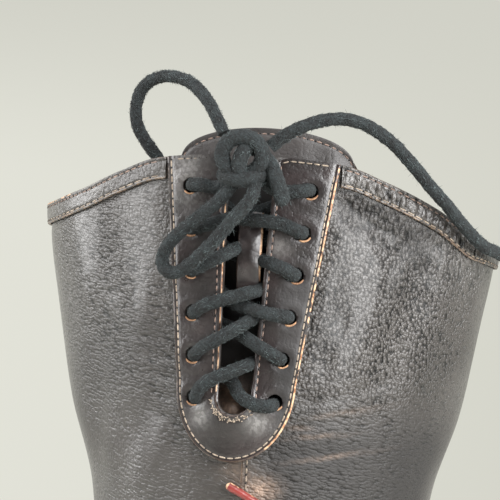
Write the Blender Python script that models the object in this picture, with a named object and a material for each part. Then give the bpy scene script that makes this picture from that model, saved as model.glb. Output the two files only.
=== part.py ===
"""Knee-high riding boot for the right foot, standing empty on its sole.

Lengths are in millimetres and become metres where a mesh is made.
The toe points along -Y, the heel along +Y, and the medial (inner) side is +X.
The origin is on the floor, under the middle of the boot's box.
"""

import math

import bmesh
import bpy
from mathutils import Matrix, Vector

MM = 0.001
GAP = 0.3
UPPER_GAP = 0.8

# Driving sizes of the foot
FEATHER_LENGTH = 271.0
FEATHER_HEEL_Y = 137.5
TOE_ROUND = 42.0
HEEL_ROUND = 30.0
HEEL_HEIGHT = 26.0
TOE_SPRING = 9.0
SOLE_THICKNESS = 5.0
SOLE_MARGIN_FORE = 7.0
SOLE_MARGIN_HEEL = 3.5
FLAT_SPOT = (0.66, 0.80)
HEEL_BREAST = 0.30
TOP_PIECE_HEIGHT = 7.0
HEEL_PITCH = 4.0
WELT_THICKNESS = 3.0
WELT_INSET = 2.6
INSOLE_THICKNESS = 3.0
INSOLE_CLEAR = 3.2

# Driving sizes of the upper and its shaft
UPPER_WALL = 2.2
TUCK = 3.0
SHAFT_BASE_Z = 185.0
BACK_RUN = 156.0
HEEL_BLEND = 78.0
HEEL_SOFTNESS = 45.0
COLLAR_FRONT = 430.0
SHAFT_POWER = 2.0

# Driving sizes of the laced facing at the top of the front
FACING_THICKNESS = 1.4
FACING_HALF_TOP = 24.8
FACING_HALF_LOW = 17.0
FACING_STRAIGHT = 66.0
FACING_LENGTH = 88.5
SLIT_HALF_TOP = 6.8
SLIT_HALF_LOW = 4.7
SLIT_STRAIGHT = 70.0
EYELET_ROWS = 6
EYELET_FIRST = 10.0
EYELET_PITCH = 12.1
EYELET_HALF_TOP = 17.0
EYELET_HALF_LOW = 11.5
EYELET_RADIUS = 2.2
FACING_LEAN = 0.025
FACING_MIDDLE = 36.0
LACE_RADIUS = 1.7

# Driving sizes of the collar band, the tongue with its lace keeper, and the red thong
BAND_WIDTH = 6.4
BAND_THICKNESS = 1.0
TONGUE_THICKNESS = 1.5
TONGUE_HALF = 27.5
TONGUE_SHIFT = 4.0
TONGUE_PROUD = 8.0
TONGUE_ARCH = 11.0
TONGUE_LENGTH = 84.0
TONGUE_GAP_LOW = 0.6
TONGUE_GAP_TOP = 4.2
KEEPER_X = 1.3
KEEPER_HALF = 3.6
KEEPER_LOW = 386.0
KEEPER_HIGH = 415.0
KEEPER_STAND = -0.9
KEEPER_THICKNESS = 1.1
THONG_RADIUS = 1.2

# Outline of the upper's bottom edge: share of length from the heel, half-widths, centre line
FEATHER_ROWS = (
    # share, lateral, medial, centre_x
    (0.00, 30.0, 30.0, -1.0),
    (0.16, 31.0, 29.5, -1.0),
    (0.42, 30.0, 26.5, -2.5),
    (0.70, 44.0, 41.5, -2.0),
    (0.86, 39.0, 38.0, 2.5),
    (1.00, 32.0, 31.0, 5.0),
)

# Foot sections: each starts on the bottom edge and leans to a point on the top line
FOOT_ROWS = (
    # share, front_y, front_z, bulge, widest, front_power, back_power
    (0.00, -1.5, 139.0, 4.5, 0.36, 1.95, 1.7),
    (0.15, -4.0, 129.0, 4.0, 0.36, 1.90, 1.3),
    (0.30, -9.0, 118.0, 4.5, 0.34, 1.80, 1.3),
    (0.45, -20.0, 103.0, 5.0, 0.32, 1.75, 1.5),
    (0.60, -38.0, 84.0, 4.0, 0.30, 1.90, 2.0),
    (0.72, -60.0, 68.0, TUCK, 0.28, 2.10, 2.0),
    (0.84, -90.0, 55.0, TUCK, 0.28, 2.30, 2.0),
    (1.00, -133.5, 51.0, TUCK, 0.28, 2.40, 2.0),
)

# Sections whose back stands on the heel's back line, up to the shaft
ANKLE_ROWS = (
    # step, back_y, back_z, front_y, front_z, half, widest, back_power
    (0.0, 137.5, 31.8, -1.5, 139.0, 34.5, 0.36, 1.7),
    (1.0, 139.3, 58.0, -1.0, 144.0, 35.5, 0.38, 1.9),
    (2.0, 136.0, 90.0, -0.5, 150.0, 37.0, 0.42, 2.0),
    (3.0, 126.0, 125.0, -0.5, 158.0, 38.5, 0.46, 2.0),
    (4.0, 118.0, 155.0, -1.0, 169.0, 40.2, 0.49, 2.0),
    (4.5, 115.8, 170.0, -1.5, 177.0, 41.1, 0.50, 2.0),
    (5.0, 115.0, SHAFT_BASE_Z, -2.0, SHAFT_BASE_Z, 42.0, 0.50, 2.0),
)

# Level sections of the shaft; the last row lies above the collar
SHAFT_ROWS = (
    # z, back_y, front_y, half
    (SHAFT_BASE_Z, 115.0, -2.0, 42.0),
    (200.0, 115.3, -3.0, 43.0),
    (230.0, 117.5, -5.0, 45.3),
    (290.0, 121.0, -9.0, 49.0),
    (327.0, 120.5, -11.0, 53.3),
    (354.0, 118.5, -12.0, 60.8),
    (385.0, 114.5, -12.5, 66.7),
    (405.0, 112.0, -12.5, 69.8),
    (445.0, 109.0, -12.0, 72.0),
)

# How far the collar drops below its front, by angle round from the front
COLLAR_ROWS = (
    # degrees, lateral_drop, medial_drop
    (0.0, 0.0, 0.0),
    (22.0, 2.1, 2.1),
    (33.0, 6.2, 6.2),
    (48.0, 12.0, 12.7),
    (66.0, 15.6, 20.9),
    (98.0, 17.5, 23.4),
    (120.0, 21.5, 21.8),
    (150.0, 26.0, 25.5),
    (180.0, 28.0, 28.0),
)

# Points that the free lace passes through, chosen by hand; each leaves the knot
TAIL_LEFT_ROUTE = (
    # x, y, z
    (-6.5, -20.5, 435.0),
    (-10.2, -19.0, 441.6),
    (-13.8, -16.0, 446.0),
    (-19.0, -12.0, 450.0),
    (-26.0, -8.0, 451.5),
    (-31.5, -5.0, 450.0),
    (-34.7, -3.0, 446.5),
    (-36.0, -1.0, 441.0),
    (-35.0, 0.5, 436.0),
    (-32.0, 1.5, 431.5),
    (-28.7, 2.5, 427.0),
    (-26.0, 4.0, 420.0),
    (-24.0, 5.0, 411.5),
    (-23.0, 5.5, 403.0),
    (-23.0, 6.0, 395.0),
)
TAIL_RIGHT_ROUTE = (
    # x, y, z
    (6.9, -20.5, 431.8),
    (11.7, -20.5, 435.6),
    (18.3, -20.0, 439.0),
    (26.0, -18.5, 440.6),
    (33.0, -15.5, 439.4),
    (40.3, -11.0, 435.0),
    (46.6, -7.0, 428.8),
    (51.3, -2.5, 423.4),
    (56.4, 3.5, 418.0),
    (61.1, 10.0, 412.5),
    (66.9, 17.5, 407.1),
    (71.3, 27.0, 405.2),
    (75.2, 36.0, 402.0),
    (77.6, 42.5, 395.5),
    (78.3, 46.0, 387.0),
    (78.3, 47.0, 377.0),
    (78.2, 47.0, 367.0),
)
LOOP_ROUTE = (
    # x, y, z
    (-2.8, -21.5, 421.4),
    (-6.5, -21.5, 416.4),
    (-13.2, -20.5, 410.5),
    (-19.7, -18.0, 404.8),
    (-22.9, -16.5, 399.8),
    (-22.4, -16.5, 396.1),
    (-19.3, -17.5, 394.8),
    (-15.3, -19.5, 397.0),
    (-9.4, -22.0, 402.4),
    (-2.4, -24.0, 410.6),
    (2.7, -24.5, 417.0),
    (3.8, -24.0, 421.6),
)
STUB_ROUTE = (
    # x, y, z
    (7.4, -20.5, 426.4),
    (10.1, -22.0, 421.0),
    (11.7, -21.0, 415.3),
)
KNOT_CENTRE = (-0.6, -20.5, 428.9)
KNOT_HALF_SIZE = (7.5, 4.6, 6.9)

# Points that the thong passes through on the shaft's front, below the facing
THONG_ROUTE = (
    # x, z
    (-1.6, 335.2),
    (1.7, 333.5),
    (4.6, 331.8),
    (7.5, 330.1),
    (11.0, 328.0),
    (14.4, 325.8),
)

# Mesh steps
COLUMNS = 32
TOE_STEPS = 5
HEEL_STEPS = 4
FOOT_STEP = 14.0
BEND_STEP = 7.0
ANKLE_STEPS = 7
SHAFT_SHARES = (0.16, 0.33, 0.48, 0.59, 0.67, 0.75, 0.83, 0.92, 1.0)
KEEPER_STEPS = 8


# Small mathematics

def smooth_row(rows, at):
    """The columns of a table at a value of its first column, on a cubic through the rows."""
    if at <= rows[0][0]:
        return rows[0][1:]
    if at >= rows[-1][0]:
        return rows[-1][1:]
    low = max(i for i in range(len(rows) - 1) if rows[i][0] <= at)
    span = rows[low + 1][0] - rows[low][0]
    t = (at - rows[low][0]) / span
    found = []
    for column in range(1, len(rows[0])):
        start, end = rows[low][column], rows[low + 1][column]
        leave = slope_at(rows, low, column) * span
        arrive = slope_at(rows, low + 1, column) * span
        found.append(
            (2 * t**3 - 3 * t**2 + 1) * start
            + (t**3 - 2 * t**2 + t) * leave
            + (-2 * t**3 + 3 * t**2) * end
            + (t**3 - t**2) * arrive
        )
    return tuple(found)


def slope_at(rows, index, column):
    """Slope of a table's column at a row, flat where the column turns round."""
    slopes = []
    for first in (index - 1, index):
        if 0 <= first < len(rows) - 1:
            rise = rows[first + 1][column] - rows[first][column]
            slopes.append(rise / (rows[first + 1][0] - rows[first][0]))
    if len(slopes) == 1:
        return slopes[0]
    if slopes[0] * slopes[1] <= 0:
        return 0.0
    return 2 * slopes[0] * slopes[1] / (slopes[0] + slopes[1])


def ease(t):
    """Goes from 0 to 1 with level ends."""
    t = min(1.0, max(0.0, t))
    return t * t * (3 - 2 * t)


def round_end(distance, length):
    """Share of the full width at a distance from a rounded end."""
    if distance >= length:
        return 1.0
    return math.sqrt(max(0.0, 1 - (1 - distance / length) ** 2))


# The foot's outline and the sole's profile

def share_at(y):
    """Share of the bottom edge's length from the heel."""
    return (FEATHER_HEEL_Y - y) / FEATHER_LENGTH


def feather_edges(y, margin=0.0):
    """Lateral and medial x of the bottom edge at y, moved out by a margin."""
    share = share_at(y)
    lateral, medial, centre = smooth_row(FEATHER_ROWS, share)
    from_toe = (1 - share) * FEATHER_LENGTH + margin
    from_heel = share * FEATHER_LENGTH + margin
    rounding = round_end(from_toe, TOE_ROUND + margin) * round_end(from_heel, HEEL_ROUND + margin)
    return centre - (lateral + margin) * rounding, centre + (medial + margin) * rounding


def tread_height(y):
    """Height of the outsole's underside over the floor."""
    share = share_at(y)
    if share > FLAT_SPOT[1]:
        return TOE_SPRING * ((share - FLAT_SPOT[1]) / (1 - FLAT_SPOT[1])) ** 2
    return HEEL_HEIGHT * ease((FLAT_SPOT[0] - share) / (FLAT_SPOT[0] - HEEL_BREAST))


def sole_top(y):
    """Height of the outsole's upper face."""
    return tread_height(y) + SOLE_THICKNESS


def sole_margin(y):
    """How far the outsole stands out past the upper's bottom edge."""
    forward = ease((share_at(y) - HEEL_BREAST) / 0.2)
    return SOLE_MARGIN_HEEL + (SOLE_MARGIN_FORE - SOLE_MARGIN_HEEL) * forward


def end_steps(length, steps):
    """Distances from a rounded end, close together where the outline turns."""
    return [length * (1 - math.cos(math.pi / 2 * i / steps)) for i in range(steps + 1)]


def outline_ys(margin_toe, margin_heel, step):
    """Stations along Y from the toe's end to the heel's end."""
    toe = FEATHER_HEEL_Y - FEATHER_LENGTH - margin_toe
    heel = FEATHER_HEEL_Y + margin_heel
    front = [toe + d for d in end_steps(TOE_ROUND + margin_toe, TOE_STEPS)]
    back = [heel - d for d in end_steps(HEEL_ROUND + margin_heel, HEEL_STEPS + 1)]
    back.reverse()
    count = max(1, round((back[0] - front[-1]) / step))
    between = [front[-1] + (back[0] - front[-1]) * i / count for i in range(1, count)]
    return front + between + back


def bend_ys():
    """Where the flat-cut layers of the bottom bend: close together over the arch."""
    toe = FEATHER_HEEL_Y - FEATHER_LENGTH
    count = round(FEATHER_LENGTH / BEND_STEP)
    return [toe + BEND_STEP * i for i in range(count + 1)]


# The upper's own surface

def section_point(back, front, centre, halves, feathers, widest, powers, turn):
    """Point of a section: turn is 0 at its front, -1 or 1 at its lateral or medial back."""
    side = -1 if turn < 0 else 1
    half = halves[0] if side < 0 else halves[1]
    feather = feathers[0] if side < 0 else feathers[1]
    part = abs(turn)
    if part <= 0.5:
        angle = part * math.pi
        out = half * math.sin(angle) ** (2 / powers[0])
        along = widest + (1 - widest) * max(0.0, math.cos(angle)) ** (2 / powers[0])
    else:
        angle = (part - 0.5) * math.pi
        out = feather + (half - feather) * max(0.0, math.cos(angle)) ** (2 / powers[1])
        along = widest * (1 - math.sin(angle) ** (2 / powers[1]))
    return Vector((
        centre + side * out,
        back[0] + (front[0] - back[0]) * along,
        back[1] + (front[1] - back[1]) * along,
    ))


def foot_section(y, turn):
    """Section that starts on the bottom edge at y."""
    share = share_at(y)
    front_y, front_z, bulge, widest, front_power, back_power = smooth_row(FOOT_ROWS, share)
    lateral_x, medial_x = feather_edges(y)
    centre = smooth_row(FEATHER_ROWS, share)[2]
    feathers = (centre - lateral_x, medial_x - centre)
    bottom = sole_top(y) + UPPER_GAP
    toe_rounding = round_end((1 - share) * FEATHER_LENGTH, TOE_ROUND)
    height = (front_z - bottom) * toe_rounding
    halves = tuple((half + bulge) * toe_rounding for half in smooth_row(FEATHER_ROWS, share)[:2])
    lean = (front_y - y) * toe_rounding if share < 0.8 else 0.0
    front = (y + lean, bottom + height)
    return section_point(
        (y, bottom), front, centre, halves, feathers, widest, (front_power, back_power), turn
    )


def ankle_section(step, turn):
    """Section whose back is on the heel's back line."""
    back_y, back_z, front_y, front_z, half, widest, power = smooth_row(ANKLE_ROWS, step)
    centre = smooth_row(FEATHER_ROWS, 0.0)[2] * (1 - ease(step / ANKLE_ROWS[-1][0]))
    return section_point(
        (back_y, back_z), (front_y, front_z), centre, (half, half), (0.0, 0.0), widest,
        (1.95, power), turn,
    )


def lasted_point(run, turn):
    """Point of the foot at a run along the bottom edge from the toe, then up the heel's back."""
    if run <= FEATHER_LENGTH:
        return foot_section(FEATHER_HEEL_Y - FEATHER_LENGTH + run, turn)
    step = ANKLE_ROWS[-1][0] * (run - FEATHER_LENGTH) / BACK_RUN
    return ankle_section(min(step, ANKLE_ROWS[-1][0]), turn)


def foot_point(run, turn):
    """Point of the foot, eased where the sections swing from the sole to the heel's back."""
    near = max(0.0, 1 - abs(run - FEATHER_LENGTH) / HEEL_BLEND)
    reach = HEEL_SOFTNESS * near * ease(3 * (1 - abs(turn)))
    total = Vector((0.0, 0.0, 0.0))
    for k, weight in ((-1.0, 1), (-0.5, 2), (0.0, 3), (0.5, 2), (1.0, 1)):
        total += lasted_point(run + k * reach, turn) * weight
    return total / 9


def shaft_point(turn, z):
    """Point of the shaft's outer face at a height."""
    back_y, front_y, half = smooth_row(SHAFT_ROWS, z)
    return section_point(
        (back_y, z), (front_y, z), 0.0, (half, half), (0.0, 0.0), 0.5,
        (SHAFT_POWER, SHAFT_POWER), turn,
    )


def shaft_lift(turn, z, lift):
    """Point off the shaft's outer face, along its normal."""
    step = 0.002
    around = shaft_point(turn + step, z) - shaft_point(turn - step, z)
    rise = shaft_point(turn, z + 1.0) - shaft_point(turn, z - 1.0)
    normal = around.cross(rise).normalized()
    return shaft_point(turn, z) + normal * lift


def front_turn(x, z):
    """Turn on the shaft's front at a sideways place x."""
    half = smooth_row(SHAFT_ROWS, z)[2]
    reach = min(1.0, abs(x) / half) ** (SHAFT_POWER / 2)
    return math.copysign(math.asin(reach) / math.pi, x)


def front_lift(x, z, lift):
    """Point off the shaft's front at sideways place x and height z."""
    return shaft_lift(front_turn(x, z), z, lift)


def collar_height(turn):
    """Height of the collar's edge round the shaft."""
    lateral_drop, medial_drop = smooth_row(COLLAR_ROWS, abs(turn) * 180.0)
    return COLLAR_FRONT - (lateral_drop if turn < 0 else medial_drop)


def collar_at(x):
    """Height of the collar's edge at sideways place x on the front."""
    return collar_height(front_turn(x, COLLAR_FRONT))


def leaned(x, z):
    """Sideways place on the facing, whose middle line leans a little to the medial side."""
    return x + FACING_LEAN * (z - (COLLAR_FRONT - FACING_MIDDLE))


# Objects and materials

def clear_scene():
    for thing in list(bpy.data.objects):
        bpy.data.objects.remove(thing, do_unlink=True)


def material(name, colour, roughness, metallic=0.0):
    made = bpy.data.materials.new(name)
    made.use_nodes = True
    shader = made.node_tree.nodes["Principled BSDF"]
    shader.inputs["Base Color"].default_value = (*colour, 1.0)
    shader.inputs["Roughness"].default_value = roughness
    shader.inputs["Metallic"].default_value = metallic
    return made


def new_object(name, bm, stuff, smooth=True):
    """An object from a mesh in millimetres."""
    bmesh.ops.scale(bm, vec=(MM, MM, MM), verts=bm.verts)
    for face in bm.faces:
        face.smooth = smooth
    mesh = bpy.data.meshes.new(name)
    bm.to_mesh(mesh)
    bm.free()
    made = bpy.data.objects.new(name, mesh)
    bpy.context.collection.objects.link(made)
    if stuff:
        mesh.materials.append(stuff)
    return made


def thicken(made, thickness, outward):
    """A wall of even thickness on a sheet."""
    wall = made.modifiers.new("Wall", "SOLIDIFY")
    wall.thickness = thickness * MM
    wall.offset = 1.0 if outward else -1.0
    wall.use_even_offset = True
    wall.use_rim = True


def cut_with(made, cutter):
    cut = made.modifiers.new("Cut", "BOOLEAN")
    cut.operation = "DIFFERENCE"
    cut.solver = "EXACT"
    cut.object = cutter


def flat_sheet(outline, cuts_x, cuts_y):
    """A flat face with an outline in X and Y, crossed by the edges that let it bend."""
    bm = bmesh.new()
    bm.faces.new([bm.verts.new((x, y, 0.0)) for x, y in outline])
    for places, axis in ((cuts_x, Vector((1, 0, 0))), (cuts_y, Vector((0, 1, 0)))):
        for place in places:
            bmesh.ops.bisect_plane(
                bm, geom=list(bm.verts) + list(bm.edges) + list(bm.faces), dist=1e-5,
                plane_co=axis * place, plane_no=axis,
            )
    bm.normal_update()
    if bm.faces[:][0].normal.z < 0:
        bmesh.ops.reverse_faces(bm, faces=bm.faces)
    return bm


def bent_slab(name, outline, cuts_y, low, high, stuff):
    """A flat-cut slab bent along the foot: low and high give its faces' heights at y."""
    bm = flat_sheet(outline, (), cuts_y)
    lower = bmesh.ops.duplicate(bm, geom=list(bm.verts) + list(bm.edges) + list(bm.faces))
    under_faces = [g for g in lower["geom"] if isinstance(g, bmesh.types.BMFace)]
    under = {v for face in under_faces for v in face.verts}
    for vert in bm.verts:
        vert.co.z = low(vert.co.y) if vert in under else high(vert.co.y)
    bmesh.ops.reverse_faces(bm, faces=under_faces)
    rims = [edge for edge in bm.edges if edge.is_boundary]
    bmesh.ops.bridge_loops(bm, edges=rims)
    bmesh.ops.recalc_face_normals(bm, faces=bm.faces)
    return new_object(name, bm, stuff, smooth=False)


def closed_outline(ys, edges):
    """Points round an outline, down its lateral side and back up its medial side."""
    lateral = [(edges(y)[0], y) for y in ys]
    medial = [(edges(y)[1], y) for y in ys]
    points = lateral + medial[::-1]
    kept = []
    for point in points:
        if not kept or math.dist(point, kept[-1]) > 0.01:
            kept.append(point)
    if math.dist(kept[0], kept[-1]) < 0.01:
        kept.pop()
    return kept


# The pieces

def make_upper(stuff, cutter):
    bm = bmesh.new()
    turns = [-1 + 2 * j / COLUMNS for j in range(COLUMNS + 1)]
    grid = []
    toe = FEATHER_HEEL_Y - FEATHER_LENGTH
    runs = [y - toe for y in outline_ys(0.0, 0.0, FOOT_STEP)]
    runs += [FEATHER_LENGTH + BACK_RUN * i / ANKLE_STEPS for i in range(1, ANKLE_STEPS + 1)]
    for run in runs:
        grid.append([foot_point(run, turn) for turn in turns])
    for share in SHAFT_SHARES:
        row = []
        for turn in turns:
            top = collar_height(turn)
            row.append(shaft_point(turn, SHAFT_BASE_Z + (top - SHAFT_BASE_Z) * share))
        grid.append(row)
    verts = [[bm.verts.new(point) for point in row] for row in grid]
    for i in range(len(verts) - 1):
        for j in range(COLUMNS):
            bm.faces.new((verts[i][j], verts[i][j + 1], verts[i + 1][j + 1], verts[i + 1][j]))
    bmesh.ops.remove_doubles(bm, verts=bm.verts, dist=0.001)
    bm.normal_update()
    made = new_object("upper", bm, stuff)
    thicken(made, UPPER_WALL, outward=False)
    cut_with(made, cutter)
    return made


def make_throat_cutter():
    """The slit and the eyelet holes, punched through the facing and the shaft together."""
    bm = bmesh.new()
    top = COLLAR_FRONT + 30.0
    low = COLLAR_FRONT - SLIT_STRAIGHT
    slope = (SLIT_HALF_TOP - SLIT_HALF_LOW) / SLIT_STRAIGHT
    wide = SLIT_HALF_LOW + slope * (top - low)
    outline = [(-wide, top), (-SLIT_HALF_LOW, low)]
    for i in range(1, 8):
        angle = math.pi * (1 + i / 8)
        outline.append((SLIT_HALF_LOW * math.cos(angle), low + SLIT_HALF_LOW * math.sin(angle)))
    outline += [(SLIT_HALF_LOW, low), (wide, top)]
    face = bm.faces.new([bm.verts.new((leaned(x, z), -40.0, z)) for x, z in outline])
    grown = bmesh.ops.extrude_face_region(bm, geom=[face])
    moved = [g for g in grown["geom"] if isinstance(g, bmesh.types.BMVert)]
    bmesh.ops.translate(bm, vec=(0, 55.0, 0), verts=moved)
    for x, z in eyelets():
        place = front_lift(x, z, 0.0)
        out = (front_lift(x, z, 1.0) - place).normalized()
        turned = out.to_track_quat("Z", "Y").to_matrix().to_4x4()
        bmesh.ops.create_cone(
            bm, cap_ends=True, segments=14, radius1=EYELET_RADIUS, radius2=EYELET_RADIUS,
            depth=16.0, matrix=Matrix.Translation(place) @ turned,
        )
    bmesh.ops.recalc_face_normals(bm, faces=bm.faces)
    made = new_object("throat_cutter", bm, None)
    made.hide_render = True
    made.display_type = "WIRE"
    return made


def eyelet_place(row, side):
    """Sideways place and height of an eyelet; row 0 is the lowest."""
    down = EYELET_FIRST + EYELET_PITCH * (EYELET_ROWS - 1 - row)
    share = row / (EYELET_ROWS - 1)
    half = EYELET_HALF_LOW + (EYELET_HALF_TOP - EYELET_HALF_LOW) * share
    return leaned(side * half, COLLAR_FRONT - down), COLLAR_FRONT - down


def eyelets():
    return [eyelet_place(row, side) for row in range(EYELET_ROWS) for side in (-1, 1)]


def make_facing(stuff, cutter):
    low = COLLAR_FRONT - FACING_STRAIGHT
    drop = FACING_LENGTH - FACING_STRAIGHT
    outline = []
    for i in range(9):
        x = leaned(FACING_HALF_TOP * (1 - i / 4), COLLAR_FRONT)
        outline.append((x, collar_at(x)))
    for i in range(17):
        angle = math.pi * (1 + i / 16)
        z = low + drop * math.sin(angle)
        outline.append((leaned(FACING_HALF_LOW * math.cos(angle), z), z))
    cuts_x = [-20 + 5 * i for i in range(9)]
    cuts_z = [COLLAR_FRONT - 12 * i for i in range(1, 6)]
    bm = flat_sheet(outline, cuts_x, cuts_z)
    for vert in bm.verts:
        vert.co = front_lift(vert.co.x, vert.co.y, GAP)
    made = new_object("lace_facing", bm, stuff)
    thicken(made, FACING_THICKNESS, outward=True)
    cut_with(made, cutter)
    return made


def make_tongue(stuff):
    top = COLLAR_FRONT + TONGUE_PROUD - TONGUE_ARCH
    low = COLLAR_FRONT - TONGUE_LENGTH
    outline = []
    for i in range(19):
        angle = math.pi * i / 18
        x = TONGUE_SHIFT + TONGUE_HALF * math.cos(angle)
        outline.append((x, top + TONGUE_ARCH * math.sin(angle) ** 0.8))
    for i in range(1, 8):
        angle = math.pi * (1 + i / 8)
        outline.append((TONGUE_SHIFT * 0.3 + 15.0 * math.cos(angle), low + 10.0 * math.sin(angle)))
    cuts_x = [-21 + 7 * i for i in range(8)]
    cuts_z = [COLLAR_FRONT - 15 * i for i in range(6)]
    bm = flat_sheet(outline, cuts_x, cuts_z)
    for vert in bm.verts:
        x, z = vert.co.x, vert.co.y
        above = ease((z - (COLLAR_FRONT - 80.0)) / 14.0)
        gap = TONGUE_GAP_LOW + (TONGUE_GAP_TOP - TONGUE_GAP_LOW) * above
        vert.co = front_lift(x, z, -(UPPER_WALL + gap))
    made = new_object("tongue", bm, stuff)
    thicken(made, TONGUE_THICKNESS, outward=False)
    return made


def make_keeper(stuff):
    """A strap that stands off the tongue inside the slit, for the lace to pass behind."""
    base = -(UPPER_WALL + TONGUE_GAP_TOP) + GAP
    bm = bmesh.new()
    rings = []
    for i in range(KEEPER_STEPS + 1):
        share = i / KEEPER_STEPS
        z = KEEPER_LOW + (KEEPER_HIGH - KEEPER_LOW) * share
        arch = max(0.0, math.sin(math.pi * share)) ** 0.55
        stand = base + (KEEPER_STAND - base) * arch
        ring = []
        for side, lift in ((-1, 0.0), (1, 0.0), (1, 1.0), (-1, 1.0)):
            x = KEEPER_X + side * KEEPER_HALF
            ring.append(bm.verts.new(front_lift(x, z, stand + lift * KEEPER_THICKNESS)))
        rings.append(ring)
    for a, b in zip(rings, rings[1:]):
        for k in range(4):
            bm.faces.new((a[k], a[(k + 1) % 4], b[(k + 1) % 4], b[k]))
    bm.faces.new(rings[0])
    bm.faces.new(rings[-1])
    bmesh.ops.recalc_face_normals(bm, faces=bm.faces)
    return new_object("lace_keeper", bm, stuff)


def make_band(stuff):
    """A strip under the collar's edge, from one side of the facing round the back to the other."""
    middle = leaned(0.0, COLLAR_FRONT)
    first = front_turn(middle + FACING_HALF_TOP + 0.5, COLLAR_FRONT)
    last = 2 + front_turn(middle - FACING_HALF_TOP - 0.5, COLLAR_FRONT)
    whole = [2 * j / COLUMNS for j in range(COLUMNS + 1)]
    turns = [first] + [turn for turn in whole if first + 0.01 < turn < last - 0.01] + [last]
    bm = bmesh.new()
    rows = []
    for turn in turns:
        signed = turn if turn <= 1 else turn - 2
        top = collar_height(signed)
        rows.append([bm.verts.new(shaft_lift(signed, top - d, GAP)) for d in (BAND_WIDTH, 0.0)])
    for a, b in zip(rows, rows[1:]):
        bm.faces.new((a[0], b[0], b[1], a[1]))
    bm.normal_update()
    made = new_object("collar_band", bm, stuff)
    thicken(made, BAND_THICKNESS, outward=True)
    return made


def make_outsole(stuff):
    ys = outline_ys(SOLE_MARGIN_FORE, SOLE_MARGIN_HEEL, 16.0)
    outline = closed_outline(ys, lambda y: feather_edges(y, sole_margin(y)))
    return bent_slab("outsole", outline, bend_ys(), tread_height, sole_top, stuff)


def make_insole(stuff):
    inset = -(UPPER_WALL + INSOLE_CLEAR)
    ys = outline_ys(inset, inset, 16.0)
    outline = closed_outline(ys, lambda y: feather_edges(y, inset))
    lift = GAP
    return bent_slab(
        "insole", outline, bend_ys(), lambda y: sole_top(y) + lift,
        lambda y: sole_top(y) + lift + INSOLE_THICKNESS, stuff,
    )


def make_welt(stuff):
    """A strip on the outsole's edge, round the toe from breast to breast."""
    breast = FEATHER_HEEL_Y - (HEEL_BREAST + 0.02) * FEATHER_LENGTH
    ys = [y for y in outline_ys(SOLE_MARGIN_FORE, SOLE_MARGIN_HEEL, 16.0) if y < breast]
    toe_out = ys[0]
    toe_in = FEATHER_HEEL_Y - FEATHER_LENGTH - WELT_INSET
    bm = bmesh.new()
    rings = []
    for side in (0, 1):
        for y in (ys[::-1] if side == 0 else ys[1:]):
            inner_y = toe_in + (y - toe_out) * (breast - toe_in) / (breast - toe_out)
            outer = (feather_edges(y, sole_margin(y))[side], y)
            inner = (feather_edges(inner_y, WELT_INSET)[side], inner_y)
            ring = []
            for (x, at), lift in ((outer, 0.0), (outer, 1.0), (inner, 1.0), (inner, 0.0)):
                height = sole_top(at) + GAP + lift * (WELT_THICKNESS - GAP)
                ring.append(bm.verts.new((x, at, height)))
            rings.append(ring)
    for a, b in zip(rings, rings[1:]):
        for k in range(4):
            bm.faces.new((a[k], a[(k + 1) % 4], b[(k + 1) % 4], b[k]))
    bm.faces.new(rings[0])
    bm.faces.new(rings[-1][::-1])
    bmesh.ops.recalc_face_normals(bm, faces=bm.faces)
    return new_object("welt", bm, stuff, smooth=False)


def heel_outline(inset, pitch):
    """Outline of a heel lift: round behind, hollow at the breast."""
    breast = FEATHER_HEEL_Y - HEEL_BREAST * FEATHER_LENGTH + 4.0
    margin = SOLE_MARGIN_HEEL - inset
    ys = [breast] + [y for y in outline_ys(margin, margin, 16.0) if y > breast + 3.0]
    points = closed_outline(ys, lambda y: feather_edges(y, margin))
    middle = FEATHER_HEEL_Y - 40.0
    lean = 1 - pitch / 70.0
    shaped = [(x, middle + (y - middle) * (lean if y > middle else 1.0)) for x, y in points]
    left, right = shaped[0], shaped[-1]
    hollow = []
    for i in range(1, 6):
        across = i / 6
        x = right[0] + (left[0] - right[0]) * across
        hollow.append((x, right[1] + 4.0 * math.sin(math.pi * across)))
    return shaped + hollow


def make_heel_lift(name, stuff, z_low, z_high, inset_low, inset_high):
    bm = bmesh.new()
    loops = []
    for z, inset in ((z_low, inset_low), (z_high, inset_high)):
        pitch = HEEL_PITCH * (1 - z / HEEL_HEIGHT)
        loops.append([bm.verts.new((x, y, z)) for x, y in heel_outline(inset, pitch)])
    count = len(loops[0])
    for k in range(count):
        after = (k + 1) % count
        bm.faces.new((loops[0][k], loops[0][after], loops[1][after], loops[1][k]))
    bm.faces.new(loops[0])
    bm.faces.new(loops[1])
    bmesh.ops.recalc_face_normals(bm, faces=bm.faces)
    return new_object(name, bm, stuff, smooth=False)


# The lace and the thong

def smooth_route(points, spacing):
    """Evenly spaced points on a curve through hand-chosen places."""
    spots = [Vector(p) for p in points]
    ends = [2 * spots[0] - spots[1]] + spots + [2 * spots[-1] - spots[-2]]
    fine = []
    for a, b, c, d in zip(ends, ends[1:], ends[2:], ends[3:]):
        for i in range(24):
            t = i / 24
            fine.append(0.5 * (
                2 * b + (c - a) * t + (2 * a - 5 * b + 4 * c - d) * t * t
                + (3 * b - a - 3 * c + d) * t**3
            ))
    fine.append(spots[-1])
    total = sum((q - p).length for p, q in zip(fine, fine[1:]))
    count = max(2, round(total / spacing))
    kept = [fine[0]]
    walked = 0.0
    for p, q in zip(fine, fine[1:]):
        step = (q - p).length
        while len(kept) < count and walked + step >= len(kept) * total / count:
            kept.append(p.lerp(q, (len(kept) * total / count - walked) / step))
        walked += step
    kept.append(fine[-1])
    return kept


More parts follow.
